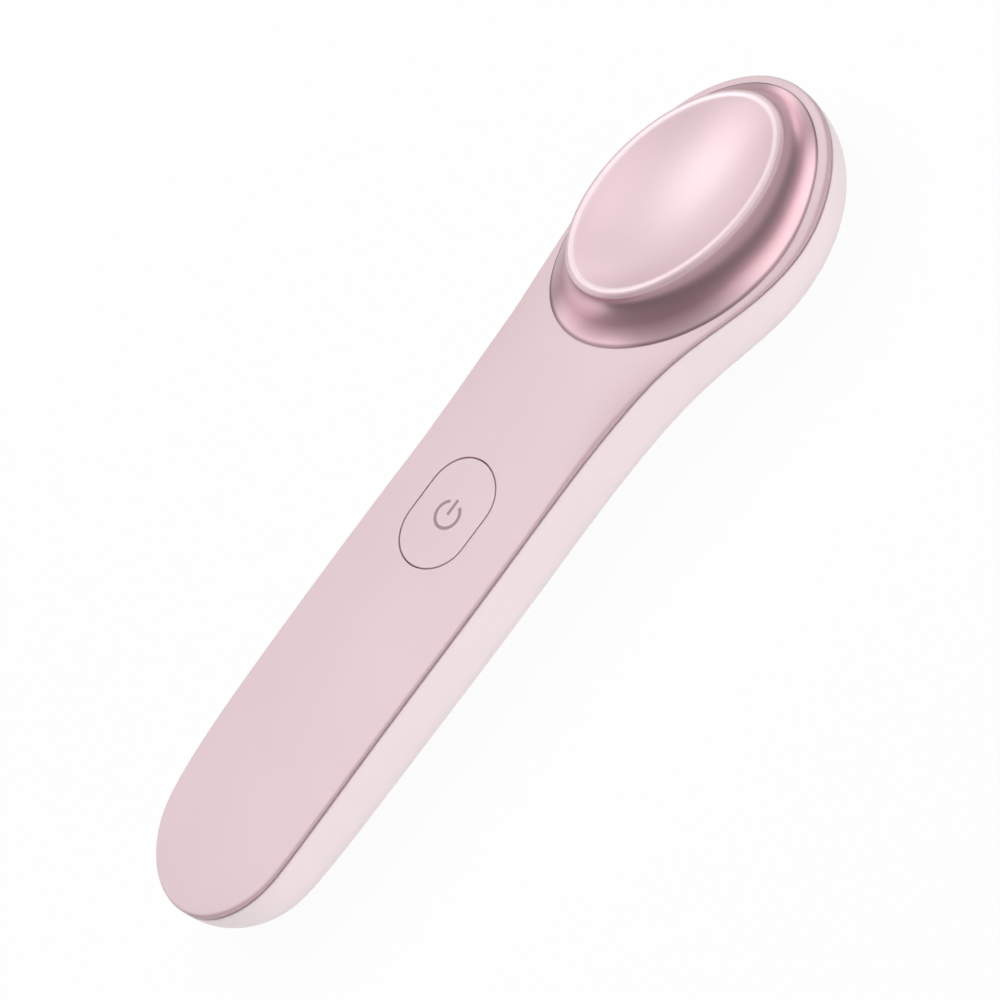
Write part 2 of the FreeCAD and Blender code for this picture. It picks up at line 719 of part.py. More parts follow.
def hollow_layer(start, thickness, half_width):
    # Sheet of even thickness under the hollow, turned round its middle and stretched along the cup
    half_across, half_along, _ = hollow_rim()
    profile = []
    for grow in (start, start + thickness):
        edge = Vector(half_width, 0, -hollow_drop(half_width / half_across, grow))
        inner = Vector(half_width / 2, 0, -hollow_drop(half_width / half_across / 2, grow))
        profile.append((edge, inner, Vector(0, 0, -hollow_drop(0, grow))))
    upper, lower = profile
    edges = [Part.Arc(*upper).toShape(), Part.LineSegment(upper[2], lower[2]).toShape()]
    edges += [Part.Arc(lower[2], lower[1], lower[0]).toShape(), Part.LineSegment(lower[0], upper[0]).toShape()]
    sheet = Part.Face(Part.Wire(edges)).revolve(Vector(0, 0, 0), Vector(0, 0, 1), 360)
    matrix = FreeCAD.Matrix()
    matrix.scale(1, half_along / half_across, 1)
    sheet = sheet.transformGeometry(matrix)
    sheet.rotate(Vector(0, 0, 0), Vector(1, 0, 0), -LIP_TILT)
    sheet.translate(Vector(0, lip_y, lip_z))
    return sheet


def make_heater_film():
    return hollow_layer(CUP_SHELL + LAYER_GAP, FILM_THICKNESS, FILM_HALF_WIDTH)


def film_underside():
    return CUP_SHELL + LAYER_GAP + FILM_THICKNESS


def bead_place():
    return hollow_point(0, 0, film_underside() + LAYER_GAP + BEAD_DIAMETER / 2)


def make_heat_pad():
    shape = hollow_layer(film_underside() + LAYER_GAP, PAD_THICKNESS, PAD_HALF_WIDTH)
    place = bead_place()
    width = BEAD_DIAMETER + 2 * BEAD_CLEARANCE
    length = BEAD_LENGTH + BEAD_DIAMETER + 2 * BEAD_CLEARANCE
    return shape.cut(box(place.x, place.y, place.z - OVERRUN, length, width, 2 * OVERRUN))


def make_thermistor():
    place = bead_place()
    start = place - Vector(BEAD_LENGTH / 2, 0, 0)
    shape = Part.makeCylinder(BEAD_DIAMETER / 2, BEAD_LENGTH, start, Vector(1, 0, 0))
    for end in (start, start + Vector(BEAD_LENGTH, 0, 0)):
        shape = shape.fuse(Part.makeSphere(BEAD_DIAMETER / 2, end))
    return shape.removeSplitter()


def make_power_button():
    underside = button_underside() - BUTTON_STOP_GAP
    cap = slot_prism(BUTTON_HALF_WIDTH, BUTTON_HALF_LENGTH, button_y, underside, ceiling)
    shape = cap.common(below_face(0))
    half_width_flange = BUTTON_HALF_WIDTH + BUTTON_FLANGE
    half_length_flange = BUTTON_HALF_LENGTH + BUTTON_FLANGE
    floor = underside - BUTTON_FLANGE_THICKNESS
    shape = shape.fuse(slot_prism(half_width_flange, half_length_flange, button_y, floor, underside))
    shape = shape.fuse(rod(0, button_y, plunger_top() + CONTACT_GAP, floor, BUTTON_STEM_DIAMETER))
    return shape.removeSplitter()


def switch_top():
    return board_top + SWITCH_HEIGHT


def plunger_top():
    return switch_top() + PLUNGER_RISE


def make_main_board():
    middle = (board_start + board_end) / 2
    shape = box(0, middle, board_bottom, BOARD_WIDTH, board_end - board_start, BOARD_THICKNESS)
    hole = SCREW_SHANK_DIAMETER + 2 * SCREW_PASS_CLEARANCE
    return shape.cut([rod(x, y, 0, ceiling, hole) for x, y in board_screw_places()])


def make_board_screws():
    bite = BOARD_THICKNESS + SCREW_BITE - SCREW_HOLE_CLEARANCE
    return Part.makeCompound([screw(x, y, board_top, bite, 1) for x, y in board_screw_places()])


def make_tact_switch():
    shape = box(0, button_y, board_top, SWITCH_SIZE, SWITCH_SIZE, SWITCH_HEIGHT)
    well = PLUNGER_DIAMETER + 2 * PLUNGER_CLEARANCE
    floor = switch_top() - PLUNGER_ROOT - BUTTON_TRAVEL - CONTACT_GAP
    return shape.cut(rod(0, button_y, floor, ceiling, well))


def make_switch_plunger():
    return rod(0, button_y, switch_top() - PLUNGER_ROOT, plunger_top(), PLUNGER_DIAMETER)


def board_middle():
    # Middle of the board's clear stretch between the switch and the lead sockets
    return (button_y + SWITCH_SIZE / 2 + board_end - SOCKET_LENGTH) / 2


def make_board_chips():
    quarter = BOARD_WIDTH / 4
    chips = [box(-quarter, board_middle(), board_top, CHIP_SIZE, CHIP_SIZE, CHIP_HEIGHT)]
    chips.append(box(quarter, board_middle() - CHARGER_SIZE, board_top, CHARGER_SIZE, CHARGER_SIZE, CHARGER_HEIGHT))
    coil = rod(quarter, board_middle() + COIL_SIZE / 2, board_top, board_top + COIL_HEIGHT, COIL_SIZE)
    chips.append(coil)
    pitch = 2 * CAPACITOR_WIDTH
    start = board_middle() - pitch * (CAPACITOR_COUNT - 1) / 2
    for step in range(CAPACITOR_COUNT):
        place = start + pitch * step
        chips.append(box(0, place, board_top, CAPACITOR_LENGTH, CAPACITOR_WIDTH, CAPACITOR_WIDTH))
    return Part.makeCompound(chips)


def make_status_leds():
    y = button_y + SWITCH_SIZE / 2 + LED_WIDTH
    places = (-LED_FROM_SWITCH, LED_FROM_SWITCH)
    return Part.makeCompound([box(x, y, board_top, LED_WIDTH, LED_LENGTH, LED_HEIGHT) for x in places])


def socket_places():
    # Two sockets at the head end of the board, one at its tail end, each with the way its mouth faces
    screw_x = board_screw_places()[-1][0]
    x = screw_x - SCREW_HEAD_DIAMETER / 2 - SOCKET_GAP - SOCKET_WIDTH / 2
    front = board_end - SOCKET_LENGTH / 2
    rear = board_start + SOCKET_LENGTH / 2
    return [(-x, front, 1), (x, front, 1), (0, rear, -1)]


def make_lead_sockets():
    sockets = []
    for x, y, facing in socket_places():
        shape = box(x, y, board_top, SOCKET_WIDTH, SOCKET_LENGTH, SOCKET_HEIGHT)
        width = SOCKET_WIDTH - 2 * SOCKET_WALL
        height = SOCKET_HEIGHT - 2 * SOCKET_WALL
        mouth = box(x, y + facing * SOCKET_WALL, board_top + SOCKET_WALL, width, SOCKET_LENGTH, height)
        sockets.append(shape.cut(mouth))
    return Part.makeCompound(sockets)


def make_battery_cell():
    middle = (battery_start + battery_end) / 2
    length = battery_end - battery_start
    shape = box(0, middle, battery_bottom + BEDDING_GAP, BATTERY_WIDTH, length, BATTERY_THICKNESS)
    long_edges = [edge for edge in shape.Edges if edge.BoundBox.YLength > length / 2]
    return shape.makeFillet(BATTERY_EDGE_RADIUS, long_edges)


def make_battery_pad():
    middle = (battery_start + battery_end) / 2
    length = battery_end - battery_start - 2 * BATTERY_PAD_INSET
    shape = box(0, middle, 0, BATTERY_PAD_WIDTH, length, battery_bottom)
    return shape.common(tub(WALL + BEDDING_GAP, CROWN_HEIGHT))


def make_usb_board():
    middle = (usb_board_start + usb_board_end) / 2
    shape = box(0, middle, usb_board_bottom, USB_BOARD_WIDTH, USB_BOARD_LENGTH, USB_BOARD_THICKNESS)
    shape = shape.common(tub(WALL + PORT_CLEARANCE, CROWN_HEIGHT))
    hole = SCREW_SHANK_DIAMETER + 2 * SCREW_PASS_CLEARANCE
    return shape.cut([rod(x, y, 0, ceiling, hole) for x, y in usb_screw_places()])


def make_usb_board_screws():
    bite = USB_BOARD_THICKNESS + SCREW_BITE - SCREW_HOLE_CLEARANCE
    bite = min(bite, usb_bottom - BOSS_FLOOR - SCREW_HOLE_CLEARANCE)
    return Part.makeCompound([screw(x, y, usb_bottom, bite, 1) for x, y in usb_screw_places()])


def make_usb_socket():
    start = tail_y + PORT_RECESS
    shape = port_prism(0, start, USB_LENGTH)
    return shape.cut(port_prism(-USB_SHEET, start - OVERRUN, OVERRUN + USB_LENGTH - USB_SHEET))


def make_usb_tongue():
    back = tail_y + PORT_RECESS + USB_LENGTH - USB_SHEET
    start = tail_y + PORT_RECESS + TONGUE_RECESS
    place = Vector(-TONGUE_WIDTH / 2, start, PORT_HEIGHT - TONGUE_HEIGHT / 2)
    return Part.makeBox(TONGUE_WIDTH, back - start, TONGUE_HEIGHT, place)


def make_motor_can():
    shape = rod_along(motor_start, MOTOR_LENGTH, MOTOR_DIAMETER)
    return shape.cut(rod_along(motor_end - SHAFT_INSIDE, SHAFT_INSIDE, BUSH_DIAMETER))


def make_motor_end_cap():
    return rod_along(motor_start - CAP_LENGTH, CAP_LENGTH, CAP_DIAMETER)


def make_motor_bush():
    shape = rod_along(motor_end - BUSH_LENGTH, BUSH_LENGTH, BUSH_DIAMETER)
    return shape.cut(rod_along(motor_end - SHAFT_INSIDE, 2 * SHAFT_INSIDE, SHAFT_DIAMETER + 2 * SHAFT_CLEARANCE))


def make_motor_shaft():
    start = motor_end - SHAFT_INSIDE + WEIGHT_GAP
    return rod_along(start, motor_end + WEIGHT_GAP + WEIGHT_LENGTH - start, SHAFT_DIAMETER)


def make_eccentric_weight():
    # Half round that hangs below the shaft, with a hub right round it
    start = motor_end + WEIGHT_GAP
    half = rod_along(start, WEIGHT_LENGTH, 2 * WEIGHT_RADIUS)
    middle = start + WEIGHT_LENGTH / 2
    half = half.cut(box(0, middle, MOTOR_HEIGHT, 2 * WEIGHT_RADIUS + OVERRUN, WEIGHT_LENGTH + OVERRUN, OVERRUN))
    shape = half.fuse(rod_along(start, WEIGHT_LENGTH, 2 * WEIGHT_HUB_RADIUS))
    return shape.cut(rod_along(start - OVERRUN, WEIGHT_LENGTH + 2 * OVERRUN, SHAFT_DIAMETER))


def make_motor_boot():
    start = boot_y - BOOT_LENGTH / 2
    shape = rod_along(start, BOOT_LENGTH, 2 * boot_radius)
    return shape.cut(rod_along(start, BOOT_LENGTH, MOTOR_DIAMETER + 2 * BOOT_CLEARANCE))


def make_motor_clamp():
    start = boot_y - CLAMP_LENGTH / 2
    shape = rod_along(start, CLAMP_LENGTH, 2 * clamp_radius)
    ears = 2 * (clamp_screw_x + SCREW_HEAD_DIAMETER / 2 + SCREW_PASS_CLEARANCE)
    shape = shape.fuse(box(0, boot_y, MOTOR_HEIGHT, ears, CLAMP_LENGTH, CLAMP_THICKNESS))
    shape = shape.cut(rod_along(start, CLAMP_LENGTH, 2 * (boot_radius + BOOT_CLEARANCE)))
    below = box(0, boot_y, 0, ears, CLAMP_LENGTH, MOTOR_HEIGHT)
    hole = SCREW_SHANK_DIAMETER + 2 * SCREW_PASS_CLEARANCE
    return shape.cut([below] + [rod(x, y, 0, ceiling, hole) for x, y in clamp_screw_places()])


def make_clamp_screws():
    seat = MOTOR_HEIGHT + CLAMP_THICKNESS
    bite = CLAMP_THICKNESS + SCREW_BITE - SCREW_HOLE_CLEARANCE
    return Part.makeCompound([screw(x, y, seat, bite, 1) for x, y in clamp_screw_places()])


def make_battery_leads():
    # From the cell's head end up over the board's edge into the tail-end socket
    x, y, facing = socket_places()[2]
    height = board_top + SOCKET_HEIGHT / 2
    low = battery_bottom + BATTERY_THICKNESS / 2
    leads = []
    for side in (-1, 1):
        place = side * LEAD_SPACING / 2
        leads.append(lead([Vector(place * 2, battery_end + LEAD_GAP, low),
                           Vector(place * 2, battery_end + BATTERY_GAP / 2, low),
                           Vector(place, battery_end + BATTERY_GAP / 2, height),
                           Vector(place, y + SOCKET_WALL - LEAD_GAP, height)]))
    return Part.makeCompound(leads)


def make_charge_leads():
    # From the charging board along the cell's side, past the boss, to the underside of the main board
    boss_side = BOARD_WIDTH / 2 - BOARD_SCREW_INSET + BOSS_DIAMETER / 2
    side = max(BATTERY_WIDTH / 2, boss_side) + LEAD_SIDE_GAP + LEAD_DIAMETER / 2
    low = usb_bottom + LEAD_GAP + LEAD_DIAMETER / 2
    under = board_bottom - LEAD_GAP - LEAD_DIAMETER / 2
    middle = (low + under) / 2
    past_boss = board_start + BOARD_SCREW_INSET + BOSS_DIAMETER
    start = usb_screw_places()[-1][0] - (SCREW_HEAD_DIAMETER + LEAD_DIAMETER) / 2 - LEAD_SIDE_GAP
    end = BOARD_WIDTH / 4
    leads = []
    for place in (-1, 1):
        leads.append(lead([Vector(place * start, usb_board_end - LEAD_REACH, low),
                           Vector(place * start, usb_board_end, low),
                           Vector(place * side, battery_start - LEAD_DIAMETER, middle),
                           Vector(place * side, past_boss, middle),
                           Vector(place * end, past_boss + 2 * LEAD_REACH, under),
                           Vector(place * end, past_boss + 4 * LEAD_REACH, under)]))
    return Part.makeCompound(leads)


def make_motor_leads():
    # From the motor's end cap up to the left socket at the board's head end
    x, y, facing = socket_places()[0]
    height = board_top + SOCKET_HEIGHT / 2
    back = motor_start - CAP_LENGTH - LEAD_GAP
    leads = []
    for side in (-1, 1):
        place = side * LEAD_SPACING / 2
        middle = (back + board_end) / 2
        leads.append(lead([Vector(place, back, MOTOR_HEIGHT),
                           Vector(place, back - LEAD_REACH, MOTOR_HEIGHT),
                           Vector(x / 2 + place, middle + LEAD_REACH / 2, (MOTOR_HEIGHT + height) / 2),
                           Vector(x + place, middle - LEAD_REACH, height),
                           Vector(x + place, y - SOCKET_WALL, height)]))
    return Part.makeCompound(leads)


def make_heater_leads():
    # From the film's near end under the lid to the right socket at the board's head end
    x, y, facing = socket_places()[1]
    height = board_top + SOCKET_HEIGHT / 2
    share = (PAD_HALF_WIDTH + FILM_HALF_WIDTH) / 2 / hollow_rim()[0]
    leads = []
    for side in (-1, 1):
        place = side * LEAD_SPACING / 2
        start = hollow_point(270, share, film_underside() + LEAD_GAP + LEAD_DIAMETER / 2)
        leads.append(lead([start + Vector(place, 0, 0),
                           Vector(x / 2 + place, board_end + 4 * LEAD_REACH, height + LEAD_REACH / 2),
                           Vector(x + place, board_end + 2 * LEAD_REACH, height),
                           Vector(x + place, y - SOCKET_WALL, height)]))
    return Part.makeCompound(leads)


def main():
    os.makedirs("parts", exist_ok=True)
    makers = {
        "rear_cover": make_rear_cover,
        "front_cover": make_front_cover,
        "massage_head": make_massage_head,
        "head_screws": make_head_screws,
        "heater_film": make_heater_film,
        "heat_pad": make_heat_pad,
        "thermistor": make_thermistor,
        "heater_leads": make_heater_leads,
        "power_button": make_power_button,
        "main_board": make_main_board,
        "board_screws": make_board_screws,
        "board_chips": make_board_chips,
        "status_leds": make_status_leds,
        "lead_sockets": make_lead_sockets,
        "tact_switch": make_tact_switch,
        "switch_plunger": make_switch_plunger,
        "battery_cell": make_battery_cell,
        "battery_pad": make_battery_pad,
        "battery_leads": make_battery_leads,
        "charge_leads": make_charge_leads,
        "usb_board": make_usb_board,
        "usb_board_screws": make_usb_board_screws,
        "usb_socket": make_usb_socket,
        "usb_tongue": make_usb_tongue,
        "motor_can": make_motor_can,
        "motor_end_cap": make_motor_end_cap,
        "motor_bush": make_motor_bush,
        "motor_boot": make_motor_boot,
        "motor_clamp": make_motor_clamp,
        "clamp_screws": make_clamp_screws,
        "motor_shaft": make_motor_shaft,
        "eccentric_weight": make_eccentric_weight,
        "motor_leads": make_motor_leads,
    }
    for node, make in makers.items():
        make().exportStep("parts/" + node + ".step")


main()
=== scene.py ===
import json
import math

import bmesh
import bpy
import numpy as np
from mathutils import Matrix, Vector
from mathutils.geometry import delaunay_2d_cdt


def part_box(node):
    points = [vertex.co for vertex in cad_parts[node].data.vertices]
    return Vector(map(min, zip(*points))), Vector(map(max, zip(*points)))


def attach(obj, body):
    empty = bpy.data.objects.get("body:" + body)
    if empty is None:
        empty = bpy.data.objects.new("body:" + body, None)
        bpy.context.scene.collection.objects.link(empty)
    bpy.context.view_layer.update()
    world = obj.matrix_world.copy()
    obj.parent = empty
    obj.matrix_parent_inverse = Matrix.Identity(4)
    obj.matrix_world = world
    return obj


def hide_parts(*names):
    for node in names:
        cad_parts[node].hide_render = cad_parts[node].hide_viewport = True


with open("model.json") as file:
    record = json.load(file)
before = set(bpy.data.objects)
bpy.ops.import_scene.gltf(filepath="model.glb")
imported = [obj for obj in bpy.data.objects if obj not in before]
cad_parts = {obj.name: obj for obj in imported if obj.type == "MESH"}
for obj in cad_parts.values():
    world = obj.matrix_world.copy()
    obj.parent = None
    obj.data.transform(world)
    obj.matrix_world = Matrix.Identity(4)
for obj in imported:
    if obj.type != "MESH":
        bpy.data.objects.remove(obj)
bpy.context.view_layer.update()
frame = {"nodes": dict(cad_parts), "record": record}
print("frame loaded:", len(frame["nodes"]), "nodes")

mm = 0.001

# Body of the wand, lengths in mm, the same values as the solids
wand = {
    "length": 145.0, "crownHeight": 18.0, "wall": 1.8,
    "tailHalfWidth": 12.8, "tailRound": 15.5,
    "rearGripHalfWidth": 13.35, "rearGripFromTail": 32.0,
    "gripHalfWidth": 13.45, "neckHalfWidth": 14.0, "neckFromTip": 50.0,
    "headHalfWidth": 18.5, "headRound": 23.0,
    "roundExponent": 2.0, "roundAngles": (0, 22, 44, 66),
    "shoulders": ((0.36, 0.34), (0.72, 0.84)),
    "backDepth": 12.0, "tailCorner": 10.2, "gripCorner": 11.0, "headCorner": 7.8, "cornerBlend": 30.0,
    "seamDrop": 2.0, "seamTailDrop": 3.85, "seamHeadDrop": 4.7, "seamHeadLength": 34.0,
    "droopLength": 13.4, "seamGap": 0.4,
    "crownRadius": 75.0, "crownTailDrop": 4.1, "neckRise": 1.7, "neckRiseLength": 26.0,
    "neckSoftness": 3.0, "headFall": 8.0,
    "sideHeight": 0.8, "edgeFallPower": 6, "edgeFallSoftness": 0.2,
}

# How finely the meshes are drawn; stations are points up one side of the outline
meshing = {"stations": 170, "splineSamples": 40001, "rowShare": 0.866, "borderShare": 0.6, "sharpAngle": 35.0,
           "merge": 1e-5}

# Metal cup on the head
cup = {
    "lipHalfWidth": 13.25, "lipHalfLength": 19.0, "lipRise": 2.7, "lipTilt": 10.4, "lipRadius": 0.9,
    "lipAhead": 1.7, "skirtHalfWidth": 17.7, "skirtHalfLength": 23.3, "tipMargin": 1.1, "footTrim": 0.22,
    "bendOut": 0.08, "bendDown": 0.55, "shell": 1.2, "seatGap": 0.08, "edgeAngle": 44.0, "innerReach": 0.85,
    "openHalfWidth": 9.6, "openHalfLength": 15.9,
    "around": 220, "hollowSteps": 44, "lipSteps": 18, "skirtSteps": 34, "weld": 0.002, "sharpAngle": 40.0,
}

# Push button and its printed sign, the gap drawn finer than in the solids
button = {
    "halfWidth": 6.0, "halfLength": 8.74, "toSkirt": 21.3, "gap": 0.18, "edgeRound": 0.16, "edgeSteps": 4,
    "flange": 0.9, "flangeThickness": 0.8, "stopGap": 0.08, "stemDiameter": 3.4, "stemSteps": 32,
    "arcSteps": 40, "sideSteps": 12, "topInsets": (0.9, 0.45), "topGrid": 0.9, "underGrid": 1.5,
    "signRadius": 2.07, "signStroke": 0.5, "signOpening": 62.0, "signAhead": -0.15, "signAcross": 0.3,
    "signSteps": 64, "barLow": 0.0, "barHigh": 2.55, "barPoints": 9, "printHeight": 0.015, "printDepth": 0.02,
}

tailY = -wand["length"] / 2
tipY = wand["length"] / 2
headY = tipY - wand["headRound"]
neckY = tipY - wand["neckFromTip"]
skirtY = tipY - cup["tipMargin"] - cup["skirtHalfLength"]
skirtNearY = skirtY - cup["skirtHalfLength"]
buttonY = skirtNearY - button["toSkirt"] - button["halfLength"]
lipY = skirtY + cup["lipAhead"]
lipZ = wand["crownHeight"] + cup["lipRise"]


def smoothStep(share):
    share = np.clip(share, 0, 1)
    return share * share * (3 - 2 * share)


def droop(y):
    return np.exp(-(y - tailY) / wand["droopLength"])


def seamZ(y):
    head = smoothStep((y - skirtNearY) / wand["seamHeadLength"])
    drop = wand["seamDrop"] + wand["seamTailDrop"] * droop(y) + wand["seamHeadDrop"] * head
    return wand["crownHeight"] - drop


def crownZ(y):
    rise = wand["neckRise"] * smoothStep((y - skirtNearY + wand["neckRiseLength"]) / wand["neckRiseLength"])
    past = wand["neckSoftness"] * np.log1p(np.exp((y - skirtNearY) / wand["neckSoftness"]))
    fall = past * math.tan(math.radians(wand["headFall"]))
    return wand["crownHeight"] + rise - fall - wand["crownTailDrop"] * droop(y)


def faceZ(x, y):
    # Crowned, with edges that fall to one height above the seam where the crown is high
    widening = smoothStep((y - neckY) / (headY - neckY))
    half = wand["neckHalfWidth"] + (wand["headHalfWidth"] - wand["neckHalfWidth"]) * widening
    spare = crownZ(y) - half * half / (2 * wand["crownRadius"]) - seamZ(y) - wand["sideHeight"]
    fall = (spare + np.hypot(spare, wand["edgeFallSoftness"])) / 2
    share = np.minimum(np.abs(x) / half, 1)
    return crownZ(y) - x * x / (2 * wand["crownRadius"]) - fall * share ** wand["edgeFallPower"]


def backCorner(y):
    tail = smoothStep((y - tailY) / wand["cornerBlend"])
    head = smoothStep((y - neckY) / (headY - neckY))
    grip = wand["tailCorner"] + (wand["gripCorner"] - wand["tailCorner"]) * tail
    return grip + (wand["headCorner"] - grip) * head


def outlinePoints():
    power = 2 / wand["roundExponent"]
    right = []
    for angle in wand["roundAngles"]:
        a = math.radians(angle)
        along = wand["tailRound"] * (1 - math.cos(a) ** power)
        right.append((wand["tailHalfWidth"] * math.sin(a) ** power, tailY + along))
    right.append((wand["tailHalfWidth"], tailY + wand["tailRound"]))
    right.append((wand["rearGripHalfWidth"], tailY + wand["rearGripFromTail"]))
    right.append((wand["gripHalfWidth"], buttonY))
    right.append((wand["neckHalfWidth"], neckY))
    for along, out in wand["shoulders"]:
        halfWidth = wand["neckHalfWidth"] + out * (wand["headHalfWidth"] - wand["neckHalfWidth"])
        right.append((halfWidth, neckY + along * (headY - neckY)))
    for angle in wand["roundAngles"]:
        a = math.radians(angle)
        along = wand["headRound"] * math.sin(a) ** power
        right.append((wand["headHalfWidth"] * math.cos(a) ** power, headY + along))
    left = [(-x, y) for x, y in reversed(right[1:])]
    return np.array(right + [(0, tipY)] + left)


def closedSpline(points, samples):
    # Periodic cubic through the points by chord length, sampled densely
    closed = np.vstack([points, points[:1]])
    t = np.concatenate([[0], np.cumsum(np.linalg.norm(np.diff(closed, axis=0), axis=1))])
    n = len(points)
    h = np.diff(t)
    system = np.zeros((n, n))
    right = np.zeros((n, 2))
    for i in range(n):
        system[i, i - 1] += h[i - 1]
        system[i, i] += 2 * (h[i - 1] + h[i])
        system[i, (i + 1) % n] += h[i]
        right[i] = 6 * ((closed[i + 1] - closed[i]) / h[i] - (closed[i] - points[i - 1]) / h[i - 1])
    bend = np.linalg.solve(system, right)
    bend = np.vstack([bend, bend[:1]])
    at = np.linspace(0, t[-1], samples)
    k = np.clip(np.searchsorted(t, at, side="right") - 1, 0, n - 1)
    a = ((t[k + 1] - at) / h[k])[:, None]
    b = ((at - t[k]) / h[k])[:, None]
    width = (h[k] ** 2)[:, None]
    curve = (a ** 3 - a) * bend[k] + (b ** 3 - b) * bend[k + 1]
    return a * closed[k] + b * closed[k + 1] + curve * width / 6


def outlineStations(count):
    # Even points round the outline with the way inwards, the left side a mirror of the right
    dense = closedSpline(outlinePoints(), meshing["splineSamples"])
    length = np.concatenate([[0], np.cumsum(np.linalg.norm(np.diff(dense, axis=0), axis=1))])
    at = length[-1] * np.arange(1, count) / (2 * count)
    place = np.stack([np.interp(at, length, dense[:, i]) for i in (0, 1)], 1)
    slope = np.stack([np.interp(at, length, np.gradient(dense[:, i], length)) for i in (0, 1)], 1)
    slope /= np.linalg.norm(slope, axis=1)[:, None]
    inward = np.stack([-slope[:, 1], slope[:, 0]], 1)
    flip = np.array([-1, 1])
    places = np.vstack([[(0, tailY)], place, [(0, tipY)], place[::-1] * flip])
    ways = np.vstack([[(0, 1)], inward, [(0, -1)], inward[::-1] * flip])
    return places, ways


outline, inwards = outlineStations(meshing["stations"])


# Mesh drafts: vertices in mm, faces as index lists
def newDraft():
    return {"verts": [], "faces": []}


def addPoints(draft, points):
    start = len(draft["verts"])
    draft["verts"] += [tuple(float(c) for c in p) for p in points]
    return list(range(start, len(draft["verts"])))


def bridge(draft, low, high):
    n = len(low)
    for i in range(n):
        j = (i + 1) % n
        draft["faces"].append((low[i], low[j], high[j], high[i]))


def quarterTurn(steps):
    return [math.pi / 2 * i / steps for i in range(steps + 1)]


def edgeRing(inset, heightOf):
    # Ring along the outline, drawn in by inset, at a height that changes from place to place
    place = outline + inwards * inset
    return np.column_stack([place, heightOf(place[:, 0], place[:, 1])])


def buttonRing(grow):
    # Long-round ring with its straight sides along the wand
    halfWidth = button["halfWidth"] + grow
    straight = button["halfLength"] + grow - halfWidth
    steps, sides = button["arcSteps"], button["sideSteps"]
    points = []
    for end in (1, -1):
        for i in range(steps + 1):
            a = math.pi * i / steps if end > 0 else math.pi + math.pi * i / steps
            points.append((halfWidth * math.cos(a), buttonY + end * straight + halfWidth * math.sin(a)))
    ring = []
    for i, p in enumerate(points):
        ring.append(p)
        q = points[(i + 1) % len(points)]
        if abs(p[0] - q[0]) < 1e-9 and abs(p[1] - q[1]) > straight:
            ring += [(p[0], p[1] + (q[1] - p[1]) * k / sides) for k in range(1, sides)]
    return np.array(ring)


def ovalRing(halfWidth, halfLength, y, steps):
    a = 2 * np.pi * np.arange(steps) / steps
    return np.column_stack([halfWidth * np.cos(a), y + halfLength * np.sin(a)])


def onHeight(flat, heightOf, shift=0.0):
    return np.column_stack([flat, heightOf(flat[:, 0], flat[:, 1]) + shift])


def insideRing(ring, points):
    inside = np.zeros(len(points), bool)
    x, y = points[:, 0], points[:, 1]
    for (x0, y0), (x1, y1) in zip(ring, np.roll(ring, -1, axis=0)):
        crosses = (y0 > y) != (y1 > y)
        with np.errstate(divide="ignore", invalid="ignore"):
            inside ^= crosses & (x < (x1 - x0) * (y - y0) / (y1 - y0) + x0)
    return inside


def fillBetween(draft, outer, holes, heightOf, spacing, upward=True):
    # Even triangles between a ring and its holes, each vertex on the given height
    rings = [np.array([draft["verts"][i][:2] for i in ring]) for ring in [outer] + holes]
    known = [i for ring in [outer] + holes for i in ring]
    edges, start = [], 0
    for ring in rings:
        n = len(ring)
        edges += [(start + i, start + (i + 1) % n) for i in range(n)]
        start += n
    low, high = rings[0].min(0), rings[0].max(0)
    rows = []
    for k, y in enumerate(np.arange(low[1], high[1], spacing * meshing["rowShare"])):
        xs = np.arange(low[0] - (k % 2) * spacing / 2, high[0], spacing)
        rows.append(np.column_stack([xs, np.full(len(xs), y)]))
    grid = np.vstack(rows)
    keep = insideRing(rings[0], grid)
    for ring in rings[1:]:
        keep &= ~insideRing(ring, grid)
    border = np.vstack(rings)
    grid = grid[keep]
    clear = meshing["borderShare"] * spacing
    away = np.array([np.min(np.sum((border - p) ** 2, axis=1)) for p in grid])
    grid = grid[away > clear ** 2]
    added = addPoints(draft, onHeight(grid, heightOf))
    flat = [Vector(p) for p in np.vstack([border, grid])]
    places, _, faces, origin, _, _ = delaunay_2d_cdt(flat, edges, [], 1, 1e-7)
    index = known + added
    names = [index[o[0]] for o in origin]
    middles = np.array([np.mean([places[i] for i in f], axis=0) for f in faces])
    inHole = np.zeros(len(faces), bool)
    for ring in rings[1:]:
        inHole |= insideRing(ring, middles)
    for f, hole in zip(faces, inHole):
        if not hole:
            corners = [names[i] for i in f]
            draft["faces"].append(tuple(corners if upward else corners[::-1]))


def finishMesh(draft, name):
    mesh = bpy.data.meshes.new(name)
    mesh.from_pydata([(x * mm, y * mm, z * mm) for x, y, z in draft["verts"]], [], draft["faces"])
    work = bmesh.new()
    work.from_mesh(mesh)
    bmesh.ops.remove_doubles(work, verts=work.verts, dist=meshing["merge"] * mm)
    loose = [v for v in work.verts if not v.link_faces]
    bmesh.ops.delete(work, geom=loose, context="VERTS")
    bmesh.ops.recalc_face_normals(work, faces=work.faces)
    work.to_mesh(mesh)
    openEdges = sum(1 for e in work.edges if len(e.link_faces) != 2)
    work.free()
    mesh.shade_smooth()
    mesh.set_sharp_from_angle(angle=math.radians(meshing["sharpAngle"]))
    piece = bpy.data.objects.new(name, mesh)
    bpy.context.scene.collection.objects.link(piece)
    print(name, "faces", len(mesh.polygons), "open edges", openEdges)
    return piece


def applyModifiers(piece):
    graph = bpy.context.evaluated_depsgraph_get()
    made = bpy.data.meshes.new_from_object(piece.evaluated_get(graph))
    piece.modifiers.clear()
    piece.data = made


